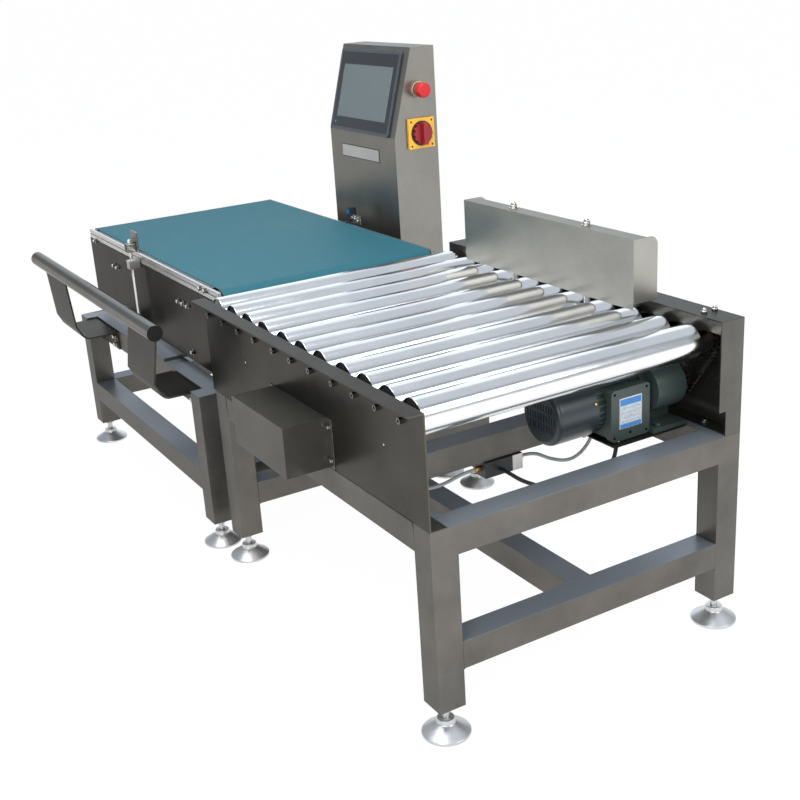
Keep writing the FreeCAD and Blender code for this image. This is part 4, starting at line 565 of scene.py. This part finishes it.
# Drive chain
# A lightly oiled steel roller chain, riveted from bushed rollers and pairs of waisted side plates. It runs
# round the first and the last roller's sprockets and the motor's.
chain_steel = plain_finish("chain_steel", (0.13, 0.12, 0.105), 0.3, metallic=1.0, speckle=0.35)
pitch = 0.0127
outside_teeth = 0.00695
loop = [(0.053, axis_height, 17), (0.953, axis_height, 17), (0.880, 0.547, 15)]
circles = [(x, z, pitch / 2 / math.sin(math.pi / teeth) + outside_teeth) for x, z, teeth in loop]
track = []
turns = []
for index in range(3):
    (ax, az, ar), (bx, bz, br) = circles[index], circles[(index + 1) % 3]
    heading = math.atan2(bz - az, bx - ax)
    lean = math.acos((ar - br) / math.hypot(bx - ax, bz - az))
    turns.append(heading + lean)
for index in range(3):
    angle = turns[index]
    (ax, az, ar), (bx, bz, br) = circles[index], circles[(index + 1) % 3]
    track.append((ax + ar * math.cos(angle), az + ar * math.sin(angle)))
    track.append((bx + br * math.cos(angle), bz + br * math.sin(angle)))
    sweep = (angle - turns[(index + 1) % 3]) % (2 * math.pi)
    for step in range(1, 24):
        at = angle - sweep * step / 24
        track.append((bx + br * math.cos(at), bz + br * math.sin(at)))
track.append(track[0])
lengths = [math.dist(a, b) for a, b in zip(track, track[1:])]
links = round(sum(lengths) / pitch / 2) * 2
spacing = sum(lengths) / links
pins = []
walked, index = 0.0, 0
for link in range(links):
    goal = link * spacing
    while walked + lengths[index] < goal:
        walked += lengths[index]
        index += 1
    share = (goal - walked) / lengths[index]
    (ax, az), (bx, bz) = track[index], track[index + 1]
    pins.append((ax + (bx - ax) * share, az + (bz - az) * share))
chain = bmesh.new()
for link, (x, z) in enumerate(pins):
    nx, nz = pins[(link + 1) % links]
    tapered_round(chain, (x, 0.3585, z), (0, 1, 0), [(0.0037, 0), (0.0037, 0.009)], 10)
    angle = math.atan2(nz - z, nx - x)
    for y in ((0.3586, 0.3666) if link % 2 else (0.3594, 0.3658)):
        outline = [(-0.0035, 0.0), (-0.0015, 0.0033), (0.003, 0.0026), (0.0097, 0.0026), (0.0142, 0.0033),
                   (0.0162, 0.0), (0.0142, -0.0033), (0.0097, -0.0026), (0.003, -0.0026), (-0.0015, -0.0033)]
        low = [chain.verts.new((x + u * math.cos(angle) - v * math.sin(angle), y,
                                z + u * math.sin(angle) + v * math.cos(angle))) for u, v in outline]
        high = [chain.verts.new(vert.co + Vector((0, 0.0008, 0))) for vert in low]
        count = len(low)
        chain.faces.new(low)
        chain.faces.new(high[::-1])
        for k in range(count):
            chain.faces.new((low[(k + 1) % count], low[k], high[k], high[(k + 1) % count]))
bmesh.ops.recalc_face_normals(chain, faces=chain.faces)
smooth_by_angle(chain)
new_piece("drive_chain_links", chain, [chain_steel], "machine_frame", record_slot("drive_chain"),
          "drive_chain")

# Gearmotor
# A ribbed motor, a gear case and a terminal box, cast and painted grey-green, with a pressed fan cover in a
# bluer paint. Brass screws hold the covers, and a foot bolts the case to a sheet plate.
motor_green = plain_finish("motor_green", (0.044, 0.064, 0.057), 0.34, speckle=0.10, scale=420, bump=0.10)
fan_blue = plain_finish("fan_blue", (0.028, 0.038, 0.043), 0.3, speckle=0.08, scale=420, bump=0.06)
brass = brushed_finish("brass", (0.62, 0.40, 0.14), 0.28, scale=240, stain=0.15)
label_white = plain_finish("label_white", (0.80, 0.84, 0.86), 0.4, speckle=0.03)
label_blue = plain_finish("label_blue", (0.06, 0.25, 0.62), 0.4, speckle=0.03)
with_broken_edges("motor_mount_plate", 0.0008, panel_steel)
with_broken_edges("motor_body", 0.0006, motor_green, sharper_than=35)
with_broken_edges("fan_cover", 0.0006, fan_blue)
with_broken_edges("gear_case", 0.0012, motor_green)
with_broken_edges("terminal_box", 0.0022, motor_green, segments=3)
with_broken_edges("drive_sprocket", 0.0004, sprocket_steel)
label = bmesh.new()
box(label, (0.9196, 0.160, 0.487), (0.92, 0.221, 0.556), 0)
box(label, (0.9197, 0.162, 0.539), (0.92004, 0.219, 0.553), 1)
box(label, (0.9197, 0.162, 0.489), (0.92004, 0.219, 0.498), 1)
for row in range(4):
    z = 0.502 + 0.010 * row
    box(label, (0.9197, 0.165, z), (0.92003, 0.216, z + 0.0007), 1)
new_piece("motor_label", label, [label_white, label_blue], "machine_frame", "grey_plastic")
motor_screws = bmesh.new()
for y, z in ((0.147, 0.471), (0.234, 0.471), (0.147, 0.568), (0.234, 0.568), (0.190, 0.476)):
    tapered_round(motor_screws, (0.9190, y, z), (1, 0, 0), [(0.0042, 0), (0.004, 0.0007), (0.003, 0.001)], 20)
barrel_x, barrel_z, barrel_radius = 0.84, 0.529, 0.0645
for angle in (20, 110, 200, 290):
    out = Vector((math.cos(math.radians(angle)), 0, math.sin(math.radians(angle))))
    tapered_round(motor_screws, Vector((barrel_x, 0.112, barrel_z)) + out * barrel_radius, out,
                  [(0.0038, 0), (0.0036, 0.0025), (0.002, 0.0035)], 16)
smooth_by_angle(motor_screws)
new_piece("motor_screws", motor_screws, [brass], "machine_frame", "brass")

# Pusher guides and carriage
# Hardened and ground guide rods, an extruded aluminium cylinder and a machined end block under the rollers.
# The machined aluminium carriage slides on the rods and carries the two posts.
guide_chrome = brushed_finish("guide_chrome", (0.72, 0.72, 0.72), 0.12, grain=(1, 0.3, 1), stain=0.05)
machined = brushed_finish("machined_aluminium", (0.56, 0.57, 0.58), 0.3, grain=(0.2, 1, 1), scale=120,
                          stain=0.10)
with_broken_edges("guide_rods", 0.0008, guide_chrome)
with_broken_edges("pusher_cylinder", 0.0025, machined, segments=3)
with_broken_edges("guide_end_block", 0.001, machined)
with_broken_edges("pusher_carriage", 0.001, machined)

# Pusher plate
# Folded and brushed stainless sheet with closed ends, held to the two posts by stainless cap nuts on its
# top flange.
pusher_steel = brushed_finish("pusher_steel", (0.34, 0.34, 0.32), 0.36, grain=(0.12, 1, 1), scale=50,
                              stain=0.10, streak=0.05, bump=0.003)
with_broken_edges("pusher_plate", 0.0011, pusher_steel, shortest=0.002)
post_nuts = bmesh.new()
for x in (0.3655, 0.6405):
    tapered_round(post_nuts, (x, 0.304, 0.857), (0, 0, 1), [(0.011, 0), (0.011, 0.0015)], 24)
    cap_nut(post_nuts, (x, 0.304, 0.8585), (0, 0, 1), 0.014, 0.014)
smooth_by_angle(post_nuts)
new_piece("post_nuts", post_nuts, [screw_steel], frame["nodes"]["pusher_plate"]["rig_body"], "stainless")

# Guide housing
# A folded stainless sheet box over the guides' near ends, open at the back and screwed to the side panel
# through two side flanges.
housing_steel = brushed_finish("housing_steel", (0.118, 0.117, 0.109), 0.22, grain=(0.15, 1, 1), scale=90,
                               stain=0.2, bump=0.008, metal=0.62)
with_broken_edges("guide_housing", 0.0014, housing_steel, shortest=0.002)
screw_group("housing_screws", [((x, -0.384, z), (0, -1, 0), 0.008, 0.005)
                               for x in (0.385, 0.657) for z in (0.478, 0.552)])

# Conveyor belt
# A thin endless belt of teal polyurethane on woven polyester, joined by heat and run tight over both drums.
# Its top has a fine grain, cloudy wear and scuffs along the run.
belt_finish = bpy.data.materials.new("belt_teal")
add, join, remap = node_tree(belt_finish)
surface = add("ShaderNodeBsdfPrincipled", **{"Specular IOR Level": 0.2})
place = add("ShaderNodeTexCoord")
weave = add("ShaderNodeTexWave", Scale=260.0, Distortion=1.2, Detail=2.0)
weave.bands_direction = "Y"
cloud = add("ShaderNodeTexNoise", Scale=4.0, Detail=7.0, Roughness=0.6)
scuff_map = add("ShaderNodeMapping")
scuff_map.inputs["Scale"].default_value = (3, 30, 30)
scuff = add("ShaderNodeTexNoise", Scale=2.0, Detail=5.0, Roughness=0.7)
join(place, "Object", weave, "Vector")
join(place, "Object", cloud, "Vector")
join(place, "Object", scuff_map, "Vector")
join(scuff_map, 0, scuff, "Vector")
mixed = add("ShaderNodeMix", data_type="RGBA")
mixed.inputs["A"].default_value = (0.019, 0.106, 0.138, 1)
mixed.inputs["B"].default_value = (0.027, 0.134, 0.168, 1)
join(cloud, "Fac", mixed, "Factor")
worn = remap(scuff, "Fac", 0.55, 0.8, 0, 0.22)
scuffed = add("ShaderNodeMix", data_type="RGBA")
scuffed.inputs["B"].default_value = (0.08, 0.24, 0.29, 1)
join(worn, "Result", scuffed, "Factor")
join(mixed, "Result", scuffed, "A")
join(scuffed, "Result", surface, "Base Color")
gloss = remap(cloud, "Fac", 0, 1, 0.55, 0.72)
join(gloss, "Result", surface, "Roughness")
relief = add("ShaderNodeBump", Strength=0.12, Distance=0.0004)
join(weave, "Fac", relief, "Height")
join(relief, 0, surface, "Normal")
join(surface, 0, add("ShaderNodeOutputMaterial"), 0)
with_broken_edges("conveyor_belt", 0.0006, belt_finish, sharper_than=60)

# Conveyor drums
# Turned steel drums with closed ends, on ground shafts that sit in the side rails. The belt runs round
# both, and one of them drives.
drum_steel = brushed_finish("drum_steel", (0.66, 0.66, 0.66), 0.2, grain=(1, 0.2, 1), scale=140, stain=0.08)
with_broken_edges("drive_drum", 0.002, drum_steel)
with_broken_edges("tail_drum", 0.002, drum_steel)
with_broken_edges("drum_shafts", 0.001, drum_steel)

# Conveyor side rails
# Extruded aluminium bars with two grooves and a natural anodised skin. Screws hold them to the panels, and
# two adjusting screws at the tail end tighten the belt.
rail_aluminium = brushed_finish("rail_aluminium", (0.46, 0.47, 0.48), 0.25, grain=(0.1, 1, 1), scale=120,
                                stain=0.08)
with_broken_edges("conveyor_side_rails", 0.0015, rail_aluminium, shortest=0.004)
rail_fittings = bmesh.new()
for y, way in ((-0.335, -1), (0.301, 1)):
    for x, z in ((-0.986, 0.663), (-0.086, 0.681), (-0.118, 0.681)):
        hex_screw(rail_fittings, (x, y + way * 0.002 * (z < 0.665), z), (0, way, 0), 0.010, 0.007)
    tapered_round(rail_fittings, (-1.044, y - way * 0.005, 0.663), (1, 0, 0), [(0.004, 0), (0.004, 0.03)], 16)
smooth_by_angle(rail_fittings)
new_piece("rail_fittings", rail_fittings, [screw_steel], "machine_frame", "stainless")

# Weigher side panels
# Plain brushed stainless sheet under the side rails. Hexagon screws through the sheet hold it to the cross
# members of the weigh frame.
weigher_steel = brushed_finish("weigher_steel", (0.078, 0.077, 0.073), 0.24, grain=(0.15, 1, 1), scale=90,
                               stain=0.2, streak=0.09, bump=0.008)
with_broken_edges("weigh_side_panels", 0.0009, weigher_steel, shortest=0.002)
screw_spots = ((-0.285, 0.613), (-0.252, 0.613), (-0.218, 0.613), (-0.822, 0.613), (-0.79, 0.613),
               (-0.222, 0.484), (-0.80, 0.484))
screw_group("panel_screws", [((x, y, z), (0, way, 0), 0.010, 0.007)
                             for x, z in screw_spots for y, way in ((-0.337, -1), (0.303, 1))])

# Weigh frame and load cell
# A welded steel frame under the belt, bolted on a machined aluminium load cell. A base bar of steel holds
# the cell on the stand.
for node, finish in (("weigh_frame", stand_steel), ("load_cell_base", stand_steel), ("load_cell", machined)):
    with_broken_edges(node, 0.0015, finish)

# Handrail
# Polished stainless round tube with flat end caps, welded on two bent sheet brackets. Each bracket is
# bolted to the stand's beam with four hexagon screws.
handrail_steel = brushed_finish("handrail_steel", (0.28, 0.28, 0.272), 0.13, grain=(0.2, 1, 1), scale=120,
                                stain=0.1, streak=0.06, bump=0.002, metal=0.96)
cap_finish = plain_finish("handrail_cap", (0.05, 0.05, 0.05), 0.35, metallic=0.9)
rail_y, rail_z, cap_radius = -0.508, 0.624, 0.0185
shape = cad_solid("handrail")
for face in shape.faces:
    spot = face.calc_center_median()
    if math.hypot(spot.y - rail_y, spot.z - rail_z) < cap_radius and abs(face.normal.x) > 0.9:
        face.material_index = 1
eased(shape, 0.0005)
new_piece("handrail_skin", shape, [handrail_steel, cap_finish], "machine_frame", record_slot("handrail"),
          "handrail")
bracket_steel = brushed_finish("bracket_steel", (0.095, 0.092, 0.085), 0.3, stain=0.22)
with_broken_edges("handrail_brackets", 0.0012, bracket_steel, shortest=0.004)
screw_group("bracket_screws", [((x, -0.377, z), (0, -1, 0), 0.012, 0.008)
                               for x in (-0.945, -0.79, -0.31, -0.155) for z in (0.403, 0.379)])

# Reflector and its rod
# A bright steel rod in an aluminium clamp block, and a holder that slides on the rod with the flat
# reflector of the photo eye.
with_broken_edges("sensor_rod", 0.0008, guide_chrome)
with_broken_edges("sensor_clamp", 0.0015, machined)
reflector_face = brushed_finish("reflector_face", (0.30, 0.29, 0.28), 0.12, scale=80, stain=0.1)
with_broken_edges("reflector", 0.001, reflector_face)

# Photo eye
# A dark moulded sensor with a blue front lens, on a bent foot on the far rail. A small stainless plate with
# three screws holds it.
eye_body = plain_finish("eye_body", (0.018, 0.020, 0.026), 0.35)
with_broken_edges("photo_eye", 0.002, eye_body)
lens = bmesh.new()
box(lens, (-0.5115, 0.3103, 0.716), (-0.4985, 0.3112, 0.731), 0)
new_piece("eye_lens", eased(lens, 0.0003), [plain_finish("eye_blue", (0.02, 0.16, 0.55), 0.12)],
          "machine_frame", "black_plastic")
eye_fittings = bmesh.new()
box(eye_fittings, (-0.4955, 0.3165, 0.690), (-0.440, 0.3185, 0.716))
eased(eye_fittings, 0.0008)
for x, z in ((-0.484, 0.706), (-0.468, 0.704), (-0.450, 0.701)):
    hex_screw(eye_fittings, (x, 0.3165, z), (0, -1, 0), 0.009, 0.006)
    tapered_round(eye_fittings, (x, 0.3185, z), (0, 1, 0), [(0.0025, 0), (0.0025, 0.008)], 12)
smooth_by_angle(eye_fittings)
new_piece("eye_fittings", eye_fittings, [screw_steel], "machine_frame", "stainless")

# Control column
# A case of brushed stainless sheet with a leaning head, welded at its seams and polished over the welds.
# The rear door hangs on hinges and has a turning lock. The name plate is blank.
column_steel = brushed_finish("column_steel", (0.22, 0.22, 0.21), 0.3, grain=(1, 1, 0.12), scale=40,
                              stain=0.10, streak=0.05, bump=0.003)
column_top = 1.2
shape = cad_solid("column_shell")
eased(shape, 0.0012)
for vert in shape.verts:
    vert.co.z = min(vert.co.z, column_top)
new_piece("column_shell_skin", shape, [column_steel], "machine_frame", record_slot("column_shell"),
          "column_shell")
with_broken_edges("column_door", 0.0008, column_steel)
with_broken_edges("column_brackets", 0.0015, stand_steel)
with_broken_edges("door_lock", 0.0005, cap_steel)
plate_dark = plain_finish("nameplate_dark", (0.03, 0.03, 0.03), 0.3)
plate_bright = plain_finish("nameplate_bright", (0.42, 0.42, 0.41), 0.35, metallic=0.8)
nameplate = bmesh.new()
box(nameplate, (-0.630, 0.3742, 0.872), (-0.400, 0.375, 0.912), 0)
box(nameplate, (-0.627, 0.3739, 0.875), (-0.403, 0.3744, 0.909), 1)
new_piece("blank_nameplate", eased(nameplate, 0.0002), [plate_dark, plate_bright], "machine_frame",
          "black_plastic")

# Operator panel
# A dark moulded bezel with rounded corners, set in the column's leaning face. Black glass borders a grey
# display, and one small green lamp shows power.
bezel_grey = plain_finish("bezel_grey", (0.048, 0.062, 0.075), 0.32, scale=300, bump=0.05)
glass_black = plain_finish("glass_black", (0.020, 0.024, 0.028), 0.12, speckle=0.04, bump=0.0)
display_grey = plain_finish("display_grey", (0.135, 0.165, 0.17), 0.16, speckle=0.03, bump=0.0)
lamp_green = plain_finish("lamp_green", (0.02, 0.5, 0.08), 0.3)
shape = cad_solid("hmi_panel")
eased(shape, 0.0012, segments=3)
new_piece("hmi_bezel", shape, [bezel_grey], "machine_frame", record_slot("hmi_panel"), "hmi_panel")
low_corner, lean = (-0.692, 0.375, 0.951), math.radians(-15.3)
leaning = Matrix.Translation(low_corner) @ Matrix.Rotation(lean, 4, "X")
front = bmesh.new()
box(front, (0.030, -0.0049, 0.041), (0.324, -0.0046, 0.199), 1)
tapered_round(front, (0.030, -0.0062, 0.024), (0, -1, 0), [(0.0028, 0), (0.0024, 0.0004)], 16, 2)
for low, high in (((0.010, 0.010), (0.344, 0.040)), ((0.010, 0.200), (0.344, 0.235)),
                  ((0.010, 0.040), (0.029, 0.200)), ((0.325, 0.040), (0.344, 0.200))):
    box(front, (low[0], -0.0063, low[1]), (high[0], -0.0060, high[1]), 0)
bmesh.ops.transform(front, matrix=leaning, verts=front.verts)
smooth_by_angle(front)
new_piece("hmi_front", front, [glass_black, display_grey, lamp_green], "machine_frame", "black_plastic")

# Emergency stop and main switch
# A moulded red button on a grey metal ring, and a moulded red knob with a scalloped rim on a black dial.
# The knob's yellow plate is fixed to the column with four screws.
button_red = plain_finish("button_red", (0.60, 0.014, 0.018), 0.38, speckle=0.06, scale=300)
# The knob has the button's moulded red at half brightness: painted shade, as the knob stands in shadow.
knob_red_painted_shade = plain_finish("knob_red_painted_shade", (0.30, 0.012, 0.018), 0.34, speckle=0.06, scale=300)
switch_yellow = plain_finish("switch_yellow", (0.95, 0.52, 0.045), 0.34, speckle=0.06, scale=300)
ring_grey = plain_finish("ring_grey", (0.28, 0.29, 0.30), 0.35, metallic=0.5)
between_plates = 1.03
shape = cad_solid("switch_plates")
for face in shape.faces:
    face.material_index = 1 if face.calc_center_median().z > between_plates else 0
eased(shape, 0.002, segments=3)
new_piece("switch_plates_skin", shape, [switch_yellow, ring_grey], "machine_frame",
          record_slot("switch_plates"), "switch_plates")
dial = bmesh.new()
dial_centre, screw_reach = Vector((-0.295, 0.461, 0.959)), 0.049
tapered_round(dial, dial_centre, (1, 0, 0), [(0.036, -0.0002), (0.036, 0.0001)], 40)
for angle in (45, 135, 225, 315):
    out = Vector((0, math.cos(math.radians(angle)), math.sin(math.radians(angle))))
    tapered_round(dial, dial_centre + out * screw_reach, (1, 0, 0), [(0.0032, -0.0002), (0.0028, 0.0008)], 16)
smooth_by_angle(dial)
new_piece("switch_dial", dial, [plain_finish("dial_black", (0.03, 0.03, 0.03), 0.4)], "machine_frame",
          "black_plastic")
with_broken_edges("main_switch_handle", 0.0022, knob_red_painted_shade, segments=3)
button = bmesh.new()
tapered_round(button, (-0.2985, 0.459, 1.082), (1, 0, 0), [
    (0.011, 0), (0.011, 0.0105), (0.0175, 0.0105), (0.0203, 0.0118), (0.021, 0.0145), (0.021, 0.0315),
    (0.0206, 0.0335), (0.0194, 0.0350), (0.0176, 0.0359), (0.015, 0.0362), (0.008, 0.0364), (0.001, 0.0365),
], 40)
smooth_by_angle(button, 40)
new_piece("estop_button_skin", button, [button_red], frame["nodes"]["estop_button"]["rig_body"],
          record_slot("estop_button"), "estop_button")

# Air valve
# A black moulded valve with a silver end cap, bolted under the cross tube. Its push-in fittings are turned
# brass.
valve_black = plain_finish("valve_black", (0.016, 0.017, 0.018), 0.32)
with_broken_edges("valve_block", 0.002, valve_black, segments=3)
with_broken_edges("valve_fittings", 0.0012, brass)
valve_cap = bmesh.new()
box(valve_cap, (0.6695, 0.030, 0.3595), (0.7155, 0.0575, 0.3965), 0)
new_piece("valve_cap", eased(valve_cap, 0.001), [machined], "machine_frame", "aluminium")
